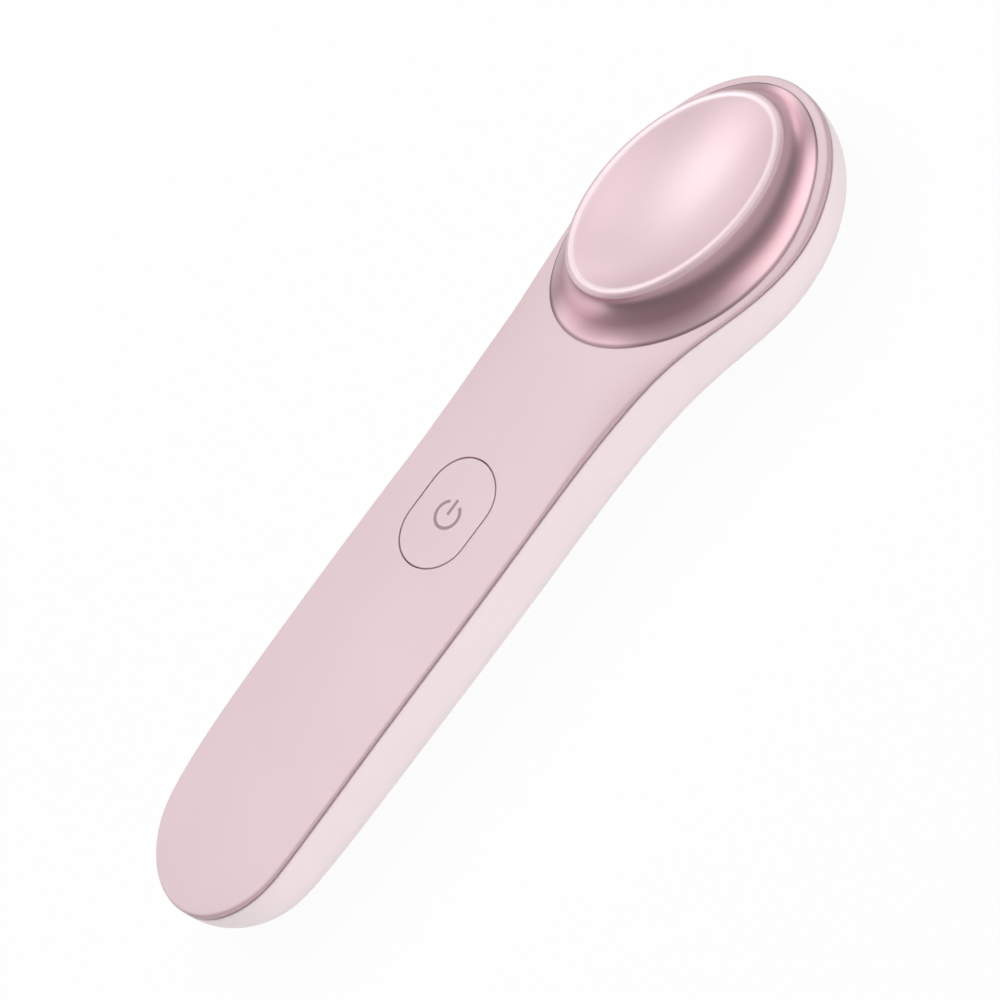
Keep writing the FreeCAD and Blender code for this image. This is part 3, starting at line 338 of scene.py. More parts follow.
def trimBy(piece, tool, operation):
    # Boolean with a helper that is thrown away
    trim = piece.modifiers.new("trim", "BOOLEAN")
    trim.operation = operation
    trim.solver = "EXACT"
    trim.object = tool
    applyModifiers(piece)
    bpy.data.objects.remove(tool)
    piece.data.shade_smooth()
    piece.data.set_sharp_from_angle(angle=math.radians(meshing["sharpAngle"]))


# Front cover
lid = {
    "edgeRadius": 0.4, "edgeSteps": 6, "seamRound": 0.2, "thickness": 2.0, "tongueClearance": 0.25,
    "tongueThickness": 1.0, "tongueDepth": 1.5, "tongueRoot": 0.4, "faceGrid": 1.3, "holeRound": 0.12,
    "innerRings": (0.75, 1.2, 1.9), "roundSteps": 3, "holeBorder": 0.6, "ovalSteps": 120,
}


def lidUnderside(x, y):
    return np.maximum(seamZ(y) + wand["seamGap"] / 2 + lid["tongueRoot"], faceZ(x, y) - lid["thickness"])


def makeFrontCover():
    draft = newDraft()
    seat = lambda x, y: seamZ(y) + wand["seamGap"] / 2
    tongueEnd = lambda x, y: seamZ(y) - lid["tongueDepth"]
    tongueOut = wand["wall"] + lid["tongueClearance"]
    tongueIn = tongueOut + lid["tongueThickness"]
    r, seamRound = lid["edgeRadius"], lid["seamRound"]
    rings = [edgeRing(tongueIn, lidUnderside), edgeRing(tongueIn, tongueEnd), edgeRing(tongueOut, tongueEnd),
             edgeRing(tongueOut, seat)]
    for a in quarterTurn(lid["roundSteps"]):
        height = lambda x, y: seat(x, y) + seamRound * (1 - math.cos(a))
        rings.append(edgeRing(seamRound * (1 - math.sin(a)), height))
    for a in quarterTurn(lid["edgeSteps"]):
        rings.append(edgeRing(r * (1 - math.cos(a)), lambda x, y: faceZ(x, y) - r * (1 - math.sin(a))))
    rings += [edgeRing(inset, faceZ) for inset in lid["innerRings"]]
    index = [addPoints(draft, ring) for ring in rings]
    for low, high in zip(index, index[1:]):
        bridge(draft, low, high)
    holeRound = lid["holeRound"]
    topHoles, lowHoles = [], []
    slot = lambda grow: buttonRing(button["gap"] + grow)
    oval = lambda grow: ovalRing(cup["openHalfWidth"] + grow, cup["openHalfLength"] + grow, lipY,
                                 lid["ovalSteps"])
    for ring in (slot, oval):
        walls = [onHeight(ring(lid["holeBorder"]), faceZ)]
        for a in quarterTurn(lid["roundSteps"]):
            walls.append(onHeight(ring(holeRound * (1 - math.sin(a))), faceZ, -holeRound * (1 - math.cos(a))))
        walls.append(onHeight(ring(0), lidUnderside))
        marks = [addPoints(draft, wall) for wall in walls]
        for high, low in zip(marks, marks[1:]):
            bridge(draft, high, low)
        topHoles.append(marks[0])
        lowHoles.append(marks[-1])
    fillBetween(draft, index[-1], topHoles, faceZ, lid["faceGrid"])
    fillBetween(draft, index[0], lowHoles, lidUnderside, 2 * lid["faceGrid"], upward=False)
    return finishMesh(draft, "front_shell")


# Rear cover
tub = {
    "backRings": 30, "rimRound": 0.22, "rimSteps": 4, "innerRings": 16,
    "portWidth": 9.44, "portHeight": 3.76, "portZ": 6.4, "portDepth": 9.6, "portReach": 6.0, "portSteps": 16,
    "socketInset": 0.12, "socketMerge": 1e-4,
}


def tubInset(y, z, wallThickness):
    # How far the tub's side is drawn in at height z
    depth = wand["backDepth"] - wallThickness
    rise = np.clip((z - wallThickness) / depth, 0, 1)
    share = 1 - np.sqrt(1 - (1 - rise) ** 2)
    return wallThickness + (backCorner(y) - wallThickness) * share


def closeRing(draft, ring):
    # Faces straight across a ring of the outline
    n = meshing["stations"]
    for i in range(n):
        farNext = ring[-i - 1] if i + 1 < n else ring[i + 1]
        farHere = ring[-i] if i else ring[0]
        draft["faces"].append(tuple(dict.fromkeys((ring[i], ring[i + 1], farNext, farHere))))


def makeRearCover():
    draft = newDraft()
    y = outline[:, 1]
    top = seamZ(y) - wand["seamGap"] / 2
    r = tub["rimRound"]

    def ringAt(z, wallThickness):
        place = outline + inwards * tubInset(y, z, wallThickness)[:, None]
        return np.column_stack([place, z])

    rings = []
    for a in quarterTurn(tub["backRings"]):
        rings.append(ringAt((top - r) * (1 - math.cos(a)), 0.0))
    for a in quarterTurn(tub["rimSteps"])[1:]:
        ring = ringAt(top - r * (1 - math.sin(a)), 0.0)
        ring[:, :2] += inwards * r * (1 - math.cos(a))
        rings.append(ring)
    for a in reversed(quarterTurn(tub["innerRings"])):
        rings.append(ringAt(wand["wall"] + (top - wand["wall"]) * (1 - math.cos(a)), wand["wall"]))
    index = [addPoints(draft, ring) for ring in rings]
    for low, high in zip(index, index[1:]):
        bridge(draft, low, high)
    closeRing(draft, index[0])
    closeRing(draft, index[-1])
    piece = finishMesh(draft, "rear_shell")
    trimBy(piece, portCutter(), "DIFFERENCE")
    return piece


def portCutter():
    # Long-round plug that opens the tail for the charging socket
    half = tub["portHeight"] / 2
    straight = tub["portWidth"] / 2 - half
    draft = newDraft()
    rings = []
    for y in (tailY - tub["portReach"], tailY + tub["portDepth"]):
        ring = []
        for side in (1, -1):
            for i in range(tub["portSteps"] + 1):
                a = -math.pi / 2 + math.pi * i / tub["portSteps"] + (0 if side > 0 else math.pi)
                ring.append((side * straight + half * math.cos(a), y, tub["portZ"] + half * math.sin(a)))
        rings.append(addPoints(draft, ring))
    bridge(draft, *rings)
    draft["faces"] += [tuple(rings[0]), tuple(reversed(rings[1]))]
    return finishMesh(draft, "port_cutter")


def makeSocket():
    # Charging socket with its mouth trimmed to the curve of the tail
    piece = bpy.data.objects.new("charge_socket", frame["nodes"]["usb_socket"].data.copy())
    bpy.context.scene.collection.objects.link(piece)
    work = bmesh.new()
    work.from_mesh(piece.data)
    bmesh.ops.remove_doubles(work, verts=work.verts, dist=tub["socketMerge"] * mm)
    work.to_mesh(piece.data)
    work.free()
    draft = newDraft()
    y = outline[:, 1]
    rings = []
    for i in range(tub["backRings"] + 1):
        z = (seamZ(y) - wand["seamGap"]) * i / tub["backRings"]
        place = outline + inwards * (tubInset(y, z, 0.0) + tub["socketInset"])[:, None]
        rings.append(addPoints(draft, np.column_stack([place, z])))
    for low, high in zip(rings, rings[1:]):
        bridge(draft, low, high)
    closeRing(draft, rings[0])
    closeRing(draft, rings[-1])
    trimBy(piece, finishMesh(draft, "tail_trimmer"), "INTERSECT")
    return piece


# Push button
def makeButton():
    draft = newDraft()
    r = button["edgeRound"]
    lowEnd = np.array(buttonY - button["halfLength"])
    underside = float(seamZ(lowEnd)) + wand["seamGap"] / 2 - button["stopGap"]
    floor = underside - button["flangeThickness"]
    level = lambda z: (lambda x, y: np.full(len(x), z))
    walls = [onHeight(buttonRing(-inset), faceZ) for inset in button["topInsets"]]
    for a in quarterTurn(button["edgeSteps"]):
        walls.append(onHeight(buttonRing(-r * (1 - math.sin(a))), faceZ, -r * (1 - math.cos(a))))
    flange = buttonRing(button["flange"])
    walls += [onHeight(buttonRing(0), level(underside)), onHeight(flange, level(underside)),
              onHeight(flange, level(floor))]
    index = [addPoints(draft, wall) for wall in walls]
    for high, low in zip(index, index[1:]):
        bridge(draft, high, low)
    fillBetween(draft, index[0], [], faceZ, button["topGrid"])
    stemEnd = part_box("power_button")[0].z / mm
    stemRadius = button["stemDiameter"] / 2
    stem = ovalRing(stemRadius, stemRadius, buttonY, button["stemSteps"])
    upper = addPoints(draft, onHeight(stem, level(floor)))
    lower = addPoints(draft, onHeight(stem, level(stemEnd)))
    fillBetween(draft, index[-1], [upper], level(floor), button["underGrid"], upward=False)
    bridge(draft, upper, lower)
    draft["faces"].append(tuple(lower))
    return finishMesh(draft, "button_cap")


def makePowerSign():
    # Open ring and bar, a thin print on the button
    draft = newDraft()
    half = button["signStroke"] / 2
    centre = (button["signAcross"], buttonY + button["signAhead"])

    def strip(line):
        rows = []
        low, high = -button["printDepth"], button["printHeight"]
        for out, shift in ((half, low), (half, high), (-half, high), (-half, low)):
            flat = np.array([(p[0] + n[0] * out, p[1] + n[1] * out) for p, n in line])
            rows.append(addPoints(draft, onHeight(flat, faceZ, shift)))
        for a, b in zip(rows, rows[1:] + rows[:1]):
            for i in range(len(a) - 1):
                draft["faces"].append((a[i], a[i + 1], b[i + 1], b[i]))
        for i in (0, -1):
            draft["faces"].append(tuple(row[i] for row in rows))

    start = math.radians(90 + button["signOpening"] / 2)
    turn = math.radians(360 - button["signOpening"])
    arc = []
    for i in range(button["signSteps"] + 1):
        a = start + turn * i / button["signSteps"]
        n = (math.cos(a), math.sin(a))
        arc.append(((centre[0] + button["signRadius"] * n[0], centre[1] + button["signRadius"] * n[1]), n))
    strip(arc)
    run = np.linspace(button["barLow"], button["barHigh"], button["barPoints"])
    strip([((centre[0], centre[1] + y), (1, 0)) for y in run])
    return finishMesh(draft, "power_sign")


frontShell = makeFrontCover()
rearShell = makeRearCover()
chargeSocket = makeSocket()
buttonCap = makeButton()
powerSign = makePowerSign()
print("covers and button made")


# Metal cup in geometry nodes: skins given by share and angle, joined into one closed shell
class NodeSheet:
    def __init__(self, tree):
        self.tree = tree

    def add(self, kind, **values):
        node = self.tree.nodes.new(kind)
        for key, value in values.items():
            setattr(node, key, value)
        return node

    def feed(self, socket, value):
        if isinstance(value, bpy.types.NodeSocket):
            self.tree.links.new(value, socket)
        else:
            socket.default_value = value

    def math(self, operation, a, b=0.0):
        node = self.add("ShaderNodeMath", operation=operation)
        self.feed(node.inputs[0], a)
        self.feed(node.inputs[1], b)
        return node.outputs[0]

    def plus(self, a, b):
        return self.math("ADD", a, b)

    def minus(self, a, b):
        return self.math("SUBTRACT", a, b)

    def times(self, a, b):
        return self.math("MULTIPLY", a, b)

    def mix(self, share, a, b):
        return self.plus(a, self.times(share, self.minus(b, a)))


# Where each skin of the cup lies on the scale that its finish reads
cupZones = {"hollow": (0.0, 0.2), "lip": (0.25, 0.75), "skirt": (1.0, 2.0), "foot": (2.0, 2.0)}


def cupTree():
    tree = bpy.data.node_groups.new("cupShape", "GeometryNodeTree")
    face = tree.interface
    face.new_socket("Geometry", in_out="OUTPUT", socket_type="NodeSocketGeometry")
    sizes = ("Lip Half Width", "Lip Half Length", "Lip Radius", "Lip Tilt", "Lip Y", "Lip Z", "Edge Angle",
             "Skirt Half Width", "Skirt Half Length", "Skirt Y", "Bend Out", "Bend Down", "Shell", "Seat Gap",
             "Inner Reach")
    for name in sizes:
        face.new_socket(name, in_out="INPUT", socket_type="NodeSocketFloat")
    for name in ("Around", "Hollow Steps", "Lip Steps", "Skirt Steps"):
        face.new_socket(name, in_out="INPUT", socket_type="NodeSocketInt")
    face.new_socket("Lid", in_out="INPUT", socket_type="NodeSocketObject")
    face.new_socket("Finish", in_out="INPUT", socket_type="NodeSocketMaterial")
    s = NodeSheet(tree)
    group = s.add("NodeGroupInput")
    size = {o.name: o for o in group.outputs}
    tilt = size["Lip Tilt"]
    sinTilt, cosTilt = s.math("SINE", tilt), s.math("COSINE", tilt)
    sinEdge, cosEdge = s.math("SINE", size["Edge Angle"]), s.math("COSINE", size["Edge Angle"])

    def skin(steps):
        # Grid of share 0 to 1 by angle 0 to a full turn
        grid = s.add("GeometryNodeMeshGrid")
        s.feed(grid.inputs["Size X"], 1.0)
        s.feed(grid.inputs["Size Y"], 1.0)
        s.feed(grid.inputs["Vertices X"], s.plus(steps, 1))
        s.feed(grid.inputs["Vertices Y"], s.plus(size["Around"], 1))
        split = s.add("ShaderNodeSeparateXYZ")
        s.tree.links.new(s.add("GeometryNodeInputPosition").outputs[0], split.inputs[0])
        share = s.plus(split.outputs[0], 0.5)
        angle = s.times(s.plus(split.outputs[1], 0.5), 2 * math.pi)
        return grid.outputs["Mesh"], share, s.math("COSINE", angle), s.math("SINE", angle)

    def place(mesh, x, y, z, share, zoneName):
        join = s.add("ShaderNodeCombineXYZ")
        for socket, value in zip(join.inputs, (x, y, z)):
            s.feed(socket, value)
        # The zone is stored first, while the grid still holds the shares
        first, last = cupZones[zoneName]
        mark = s.add("GeometryNodeStoreNamedAttribute", data_type="FLOAT", domain="POINT")
        s.feed(mark.inputs["Geometry"], mesh)
        mark.inputs["Name"].default_value = "cupZone"
        s.feed(mark.inputs["Value"], s.plus(s.times(share, last - first), first))
        move = s.add("GeometryNodeSetPosition")
        s.feed(move.inputs["Geometry"], mark.outputs[0])
        s.feed(move.inputs["Position"], join.outputs[0])
        return move.outputs[0]

    def tilted(across, along, drop):
        # From the cup's own tilted frame to the wand's
        y = s.minus(s.plus(size["Lip Y"], s.times(along, cosTilt)), s.times(drop, sinTilt))
        z = s.minus(s.minus(size["Lip Z"], s.times(along, sinTilt)), s.times(drop, cosTilt))
        return across, y, z

    lidMesh = s.add("GeometryNodeObjectInfo")
    s.feed(lidMesh.inputs["Object"], size["Lid"])

    def faceHeight(x, y):
        # Height of the lid found by a ray from above
        start = s.add("ShaderNodeCombineXYZ")
        for socket, value in zip(start.inputs, (x, y, s.times(size["Lip Z"], 2.0))):
            s.feed(socket, value)
        ray = s.add("GeometryNodeRaycast")
        s.feed(ray.inputs["Target Geometry"], lidMesh.outputs["Geometry"])
        s.feed(ray.inputs["Source Position"], start.outputs[0])
        hit = s.add("ShaderNodeSeparateXYZ")
        s.feed(hit.inputs[0], ray.outputs["Hit Position"])
        return hit.outputs[2]

    def hollowAt(grow, share):
        # Way across, way along and drop of the hollow at a share of its radius
        inset = s.times(size["Lip Radius"], s.plus(sinEdge, 1.0))
        rim = s.minus(size["Lip Half Width"], inset)
        ball = s.math("DIVIDE", rim, sinEdge)
        outer = s.plus(ball, grow)
        flat = s.times(share, rim)
        deep = s.math("SQRT", s.minus(s.times(outer, outer), s.times(flat, flat)))
        edgeDrop = s.times(size["Lip Radius"], s.minus(1.0, cosEdge))
        drop = s.plus(s.minus(deep, s.times(ball, cosEdge)), edgeDrop)
        return flat, s.times(share, s.minus(size["Lip Half Length"], inset)), drop

    def hollow(grow, reach):
        mesh, share, c, sn = skin(size["Hollow Steps"])
        share = s.times(share, reach)
        flat, along, drop = hollowAt(grow, share)
        return place(mesh, *tilted(s.times(flat, c), s.times(along, sn), drop), share, "hollow")

    def lip():
        mesh, share, c, sn = skin(size["Lip Steps"])
        turn = s.times(s.minus(1.0, share), s.plus(size["Edge Angle"], math.pi / 2))
        inset = s.times(size["Lip Radius"], s.minus(1.0, s.math("COSINE", turn)))
        drop = s.times(size["Lip Radius"], s.minus(1.0, s.math("SINE", turn)))
        across = s.times(s.minus(size["Lip Half Width"], inset), c)
        along = s.times(s.minus(size["Lip Half Length"], inset), sn)
        return place(mesh, *tilted(across, along, drop), share, "lip")

    def skirt(inset, drop):
        mesh, share, c, sn = skin(size["Skirt Steps"])
        across = s.times(s.minus(size["Lip Half Width"], inset), c)
        along = s.times(s.minus(size["Lip Half Length"], inset), sn)
        lipX, lipPlaceY, lipPlaceZ = tilted(across, along, drop)
        footX = s.times(s.minus(size["Skirt Half Width"], inset), c)
        footY = s.plus(size["Skirt Y"], s.times(s.minus(size["Skirt Half Length"], inset), sn))
        footZ = s.plus(faceHeight(footX, footY), size["Seat Gap"])
        bend = s.times(s.times(share, s.minus(1.0, share)), 2.0)
        square = s.times(share, share)
        out = s.plus(s.times(bend, size["Bend Out"]), square)
        down = s.plus(s.times(bend, size["Bend Down"]), square)
        x = s.mix(out, lipX, footX)
        y = s.mix(out, lipPlaceY, footY)
        z = s.mix(down, lipPlaceZ, footZ)
        return place(mesh, x, y, z, share, "skirt")

    def ringBetween(first, last):
        # Narrow skin between two skins' edges
        mesh, share, c, sn = skin(1)
        x, y, z = (s.mix(share, a, b) for a, b in zip(first(c, sn), last(c, sn)))
        return place(mesh, x, y, z, share, "foot")

    shell = size["Shell"]
    innerDrop = s.plus(size["Lip Radius"], shell)
    innerReach = size["Inner Reach"]

    def footPoint(inset):
        def at(c, sn):
            x = s.times(s.minus(size["Skirt Half Width"], inset), c)
            y = s.plus(size["Skirt Y"], s.times(s.minus(size["Skirt Half Length"], inset), sn))
            return x, y, s.plus(faceHeight(x, y), size["Seat Gap"])
        return at

    def innerTop(c, sn):
        across = s.times(s.minus(size["Lip Half Width"], shell), c)
        return tilted(across, s.times(s.minus(size["Lip Half Length"], shell), sn), innerDrop)

    def innerRim(c, sn):
        flat, along, drop = hollowAt(shell, innerReach)
        return tilted(s.times(flat, c), s.times(along, sn), drop)

    gather = s.add("GeometryNodeJoinGeometry")
    outside = [hollow(0.0, 1.0), lip(), skirt(0.0, size["Lip Radius"])]
    inside = [skirt(shell, innerDrop), ringBetween(innerTop, innerRim), hollow(shell, innerReach)]
    skins = outside + [ringBetween(footPoint(0.0), footPoint(shell))] + inside
    for part in skins:
        tree.links.new(part, gather.inputs[0])
    weld = s.add("GeometryNodeMergeByDistance")
    s.feed(weld.inputs["Geometry"], gather.outputs[0])
    weld.inputs["Distance"].default_value = cup["weld"] * mm
    real = s.add("GeometryNodeRealizeInstances")
    s.feed(real.inputs[0], weld.outputs[0])
    paint = s.add("GeometryNodeSetMaterial")
    s.feed(paint.inputs["Geometry"], real.outputs[0])
    s.feed(paint.inputs["Material"], size["Finish"])
    out = s.add("NodeGroupOutput")
    s.feed(out.inputs[0], paint.outputs[0])
    return tree


def makeCup(lidPiece, finish):
    mesh = bpy.data.meshes.new("metal_cup")
    piece = bpy.data.objects.new("metal_cup", mesh)
    bpy.context.scene.collection.objects.link(piece)
    tree = cupTree()
    modifier = piece.modifiers.new("cupShape", "NODES")
    modifier.node_group = tree
    values = {
        "Lip Half Width": cup["lipHalfWidth"] * mm, "Lip Half Length": cup["lipHalfLength"] * mm,
        "Lip Radius": cup["lipRadius"] * mm, "Lip Tilt": math.radians(cup["lipTilt"]), "Lip Y": lipY * mm,
        "Lip Z": lipZ * mm, "Edge Angle": math.radians(cup["edgeAngle"]),
        "Skirt Half Width": (cup["skirtHalfWidth"] - cup["footTrim"]) * mm,
        "Skirt Half Length": (cup["skirtHalfLength"] - cup["footTrim"]) * mm,
        "Skirt Y": skirtY * mm, "Bend Out": cup["bendOut"], "Bend Down": cup["bendDown"],
        "Shell": cup["shell"] * mm, "Seat Gap": cup["seatGap"] * mm, "Inner Reach": cup["innerReach"],
        "Around": cup["around"], "Hollow Steps": cup["hollowSteps"], "Lip Steps": cup["lipSteps"],
        "Skirt Steps": cup["skirtSteps"], "Lid": lidPiece, "Finish": finish,
    }
    for item in tree.interface.items_tree:
        if item.in_out == "INPUT":
            modifier[item.identifier] = values[item.name]
    bpy.context.view_layer.update()
    applyModifiers(piece)
    work = bmesh.new()
    work.from_mesh(piece.data)
    bmesh.ops.remove_doubles(work, verts=work.verts, dist=cup["weld"] * mm)
    bmesh.ops.recalc_face_normals(work, faces=work.faces)
    openEdges = sum(1 for e in work.edges if len(e.link_faces) != 2)
    work.to_mesh(piece.data)
    work.free()
    piece.data.shade_smooth()
    piece.data.set_sharp_from_angle(angle=math.radians(cup["sharpAngle"]))
    print("metal_cup faces", len(piece.data.polygons), "open edges", openEdges)
    return piece


# Finishes
def newFinish(name):
    finish = bpy.data.materials.new(name)
    finish.use_nodes = True
    return finish, NodeSheet(finish.node_tree), finish.node_tree.nodes["Principled BSDF"]


# What a finish has unless its own look says otherwise
plainLook = {"mottleScale": 60.0, "mottleRange": (0.3, 0.7), "grainScale": 5000.0, "bump": 0.1,
             "bumpDepth": 2e-5, "metal": 0.0, "sheen": 0.0}
noiseDetail = 3.0


def grainGroup():
    # Shared surface detail: slow mottle for colour, fine grain for gloss and bump
    group = bpy.data.node_groups.new("surfaceGrain", "ShaderNodeTree")
    for name in ("Mottle Scale", "Grain Scale"):
        group.interface.new_socket(name, in_out="INPUT", socket_type="NodeSocketFloat")
    for name in ("Mottle", "Grain"):
        group.interface.new_socket(name, in_out="OUTPUT", socket_type="NodeSocketFloat")
    s = NodeSheet(group)
    sizes = s.add("NodeGroupInput")
    result = s.add("NodeGroupOutput")
    where = s.add("ShaderNodeTexCoord")
    for i, name in enumerate(("Mottle", "Grain")):
        noise = s.add("ShaderNodeTexNoise")
        noise.inputs["Detail"].default_value = noiseDetail
        s.feed(noise.inputs["Vector"], where.outputs["Object"])
        s.feed(noise.inputs["Scale"], sizes.outputs[i])
        s.feed(result.inputs[i], noise.outputs["Fac"])
    return group


surfaceGrain = grainGroup()


def grainFinish(name, ownLook):
    # Plastic, paint or plain metal with mottled colour, uneven gloss and a fine grain, and painted shade on
    # the steep sides where a look asks for it
    look = {**plainLook, **ownLook}
    finish, s, shader = newFinish(name)
    grain = s.add("ShaderNodeGroup")
    grain.node_tree = surfaceGrain
    grain.inputs["Mottle Scale"].default_value = look["mottleScale"]
    grain.inputs["Grain Scale"].default_value = look["grainScale"]
    ramp = s.add("ShaderNodeValToRGB")
    stops = zip(ramp.color_ramp.elements, look["mottleRange"], (look["dark"], look["light"]))
    for element, place, shade in stops:
        element.position = place
        element.color = (*shade, 1)
    s.feed(ramp.inputs[0], grain.outputs["Mottle"])
    colour = ramp.outputs[0]
    if "edge" in look:
        # Painted shade: the steep sides drawn in a darker colour, standing in for the shade that falls on
        # them
        split = s.add("ShaderNodeSeparateXYZ")
        s.feed(split.inputs[0], s.add("ShaderNodeTexCoord").outputs["Normal"])
        steep = s.add("ShaderNodeMapRange")
        steep.inputs["From Min"].default_value, steep.inputs["From Max"].default_value = look["edgeSlopes"]
        s.feed(steep.inputs["Value"], split.outputs["Z"])
        paintedShade = s.add("ShaderNodeMix", data_type="RGBA")
        s.feed(paintedShade.inputs["Factor"], steep.outputs[0])
        s.feed(paintedShade.inputs["A"], colour)
        s.feed(paintedShade.inputs["B"], (*look["edge"], 1))
        colour = paintedShade.outputs["Result"]
    s.feed(shader.inputs["Base Color"], colour)
    low, high = look["gloss"]
    gloss = s.add("ShaderNodeMapRange")
    gloss.inputs["To Min"].default_value = low
    gloss.inputs["To Max"].default_value = high
    s.feed(gloss.inputs["Value"], grain.outputs["Grain"])
    s.feed(shader.inputs["Roughness"], gloss.outputs[0])
    bump = s.add("ShaderNodeBump")
    bump.inputs["Strength"].default_value = look["bump"]
    bump.inputs["Distance"].default_value = look["bumpDepth"]
    s.feed(bump.inputs["Height"], grain.outputs["Grain"])
    s.feed(shader.inputs["Normal"], bump.outputs[0])
    shader.inputs["Metallic"].default_value = look["metal"]
    shader.inputs["Sheen Weight"].default_value = look["sheen"]
    return finish


looks = {
    "frontPink": {"dark": (0.775, 0.600, 0.630), "light": (0.800, 0.625, 0.652), "gloss": (0.50, 0.60),
                  "grainScale": 9000.0, "mottleScale": 45.0, "bump": 0.05,
                  # The side colour below is painted shade, a darker pink on the cover's steep side walls
                  "edge": (0.585, 0.405, 0.44), "edgeSlopes": (0.99, 0.45)},
    # Same pink plastic as the front, drawn paler: the extra lightness is painted light for the brightly lit
    # rear shell
    "rearPink": {"dark": (0.91, 0.775, 0.79), "light": (0.93, 0.795, 0.81), "gloss": (0.42, 0.52),
                 "grainScale": 9000.0, "mottleScale": 45.0, "bump": 0.05, "sheen": 0.35},
    "buttonPink": {"dark": (0.775, 0.602, 0.632), "light": (0.800, 0.627, 0.654), "gloss": (0.50, 0.60),
                   "grainScale": 9000.0, "mottleScale": 45.0, "bump": 0.05},
    "signPrint": {"dark": (0.36, 0.24, 0.27), "light": (0.40, 0.27, 0.30), "gloss": (0.55, 0.65),
                  "grainScale": 8000.0, "bump": 0.03},
    "screwSteel": {"dark": (0.50, 0.50, 0.52), "light": (0.66, 0.66, 0.68), "gloss": (0.22, 0.36),
                   "metal": 1.0},
    "heaterAmber": {"dark": (0.55, 0.25, 0.04), "light": (0.72, 0.38, 0.08), "gloss": (0.15, 0.25)},
    "padGrey": {"dark": (0.10, 0.10, 0.11), "light": (0.22, 0.22, 0.23), "gloss": (0.85, 0.95),
                "grainScale": 2500.0, "bump": 0.5, "bumpDepth": 8e-5},
    "blackPlastic": {"dark": (0.012, 0.012, 0.013), "light": (0.03, 0.03, 0.032), "gloss": (0.40, 0.55)},
    "leadWhite": {"dark": (0.70, 0.69, 0.64), "light": (0.82, 0.81, 0.77), "gloss": (0.35, 0.45)},
    "leadRed": {"dark": (0.42, 0.02, 0.02), "light": (0.56, 0.04, 0.03), "gloss": (0.35, 0.45)},
    "boardGreen": {"dark": (0.01, 0.10, 0.04), "light": (0.03, 0.20, 0.08), "gloss": (0.20, 0.32),
                   "mottleScale": 900.0},
    "lampWhite": {"dark": (0.80, 0.80, 0.72), "light": (0.92, 0.92, 0.86), "gloss": (0.10, 0.18)},
    "socketIvory": {"dark": (0.68, 0.62, 0.48), "light": (0.78, 0.72, 0.58), "gloss": (0.40, 0.50)},
    "plungerGrey": {"dark": (0.05, 0.05, 0.055), "light": (0.10, 0.10, 0.105), "gloss": (0.45, 0.55)},
    "cellSilver": {"dark": (0.50, 0.51, 0.53), "light": (0.64, 0.65, 0.67), "gloss": (0.28, 0.42),
                   "metal": 1.0, "bump": 0.2},
    "socketSteel": {"dark": (0.56, 0.56, 0.58), "light": (0.68, 0.68, 0.70), "gloss": (0.18, 0.28),
                    "metal": 1.0},
    "motorSteel": {"dark": (0.46, 0.46, 0.48), "light": (0.60, 0.60, 0.62), "gloss": (0.24, 0.36),
                   "metal": 1.0},
    "bushBrass": {"dark": (0.56, 0.38, 0.13), "light": (0.70, 0.50, 0.20), "gloss": (0.20, 0.32),
                  "metal": 1.0},
    "bootRubber": {"dark": (0.012, 0.012, 0.012), "light": (0.03, 0.03, 0.03), "gloss": (0.70, 0.85),
                   "bump": 0.3},
    "clampSteel": {"dark": (0.44, 0.44, 0.46), "light": (0.58, 0.58, 0.60), "gloss": (0.28, 0.40),
                   "metal": 1.0},
    "weightSteel": {"dark": (0.26, 0.26, 0.28), "light": (0.38, 0.38, 0.40), "gloss": (0.38, 0.52),
                    "metal": 1.0},
}
finishes = {name: grainFinish(name, look) for name, look in looks.items()}

# Rose metal of the cup: satin in the hollow, glossier down the skirt. Its colours hold painted light: a
# painted highlight in the middle of the hollow and on the lip's crest, painted shade at the hollow's edge, on
# the lip's outer side and down the skirt, a painted highlight in the pale band just above the foot and
# painted shade on the foot's rim.
# Each stop is a place on the scale of cupZones with its value
roseMetal = {
    "zones": ((0.0, (0.83, 0.67, 0.705)), (0.10, (0.81, 0.64, 0.678)), (0.20, (0.76, 0.58, 0.62)),
              (0.30, (0.96, 0.80, 0.835)), (0.41, (0.96, 0.80, 0.835)), (0.50, (0.70, 0.52, 0.56)),
              (0.80, (0.60, 0.42, 0.46)), (1.1, (0.48, 0.31, 0.35)), (1.4, (0.48, 0.31, 0.35)),
              (1.66, (0.43, 0.255, 0.29)), (1.94, (0.625, 0.44, 0.475)), (1.98, (0.30, 0.19, 0.215))),
    "metalShares": ((0.0, 0.28), (0.20, 0.28), (0.28, 0.10), (0.46, 0.10), (0.75, 0.45), (0.95, 1.0)),
    "roughShares": ((0.0, 0.50), (0.24, 0.50), (0.34, 0.38), (0.58, 0.36)),
    "grainScale": 12000.0, "mottleScale": 80.0, "mottle": 0.03, "bump": 0.03, "bumpDepth": 2e-5,
}


def zoneRamp(s, zone, stops):
    ramp = s.add("ShaderNodeValToRGB")
    elements = ramp.color_ramp.elements
    while len(elements) < len(stops):
        elements.new(1.0)
    for element, (place, value) in zip(elements, stops):
        element.position = place / cupZones["foot"][1]
        element.color = (*value, 1) if isinstance(value, tuple) else (value, value, value, 1)
    s.feed(ramp.inputs[0], zone)
    return ramp.outputs[0]


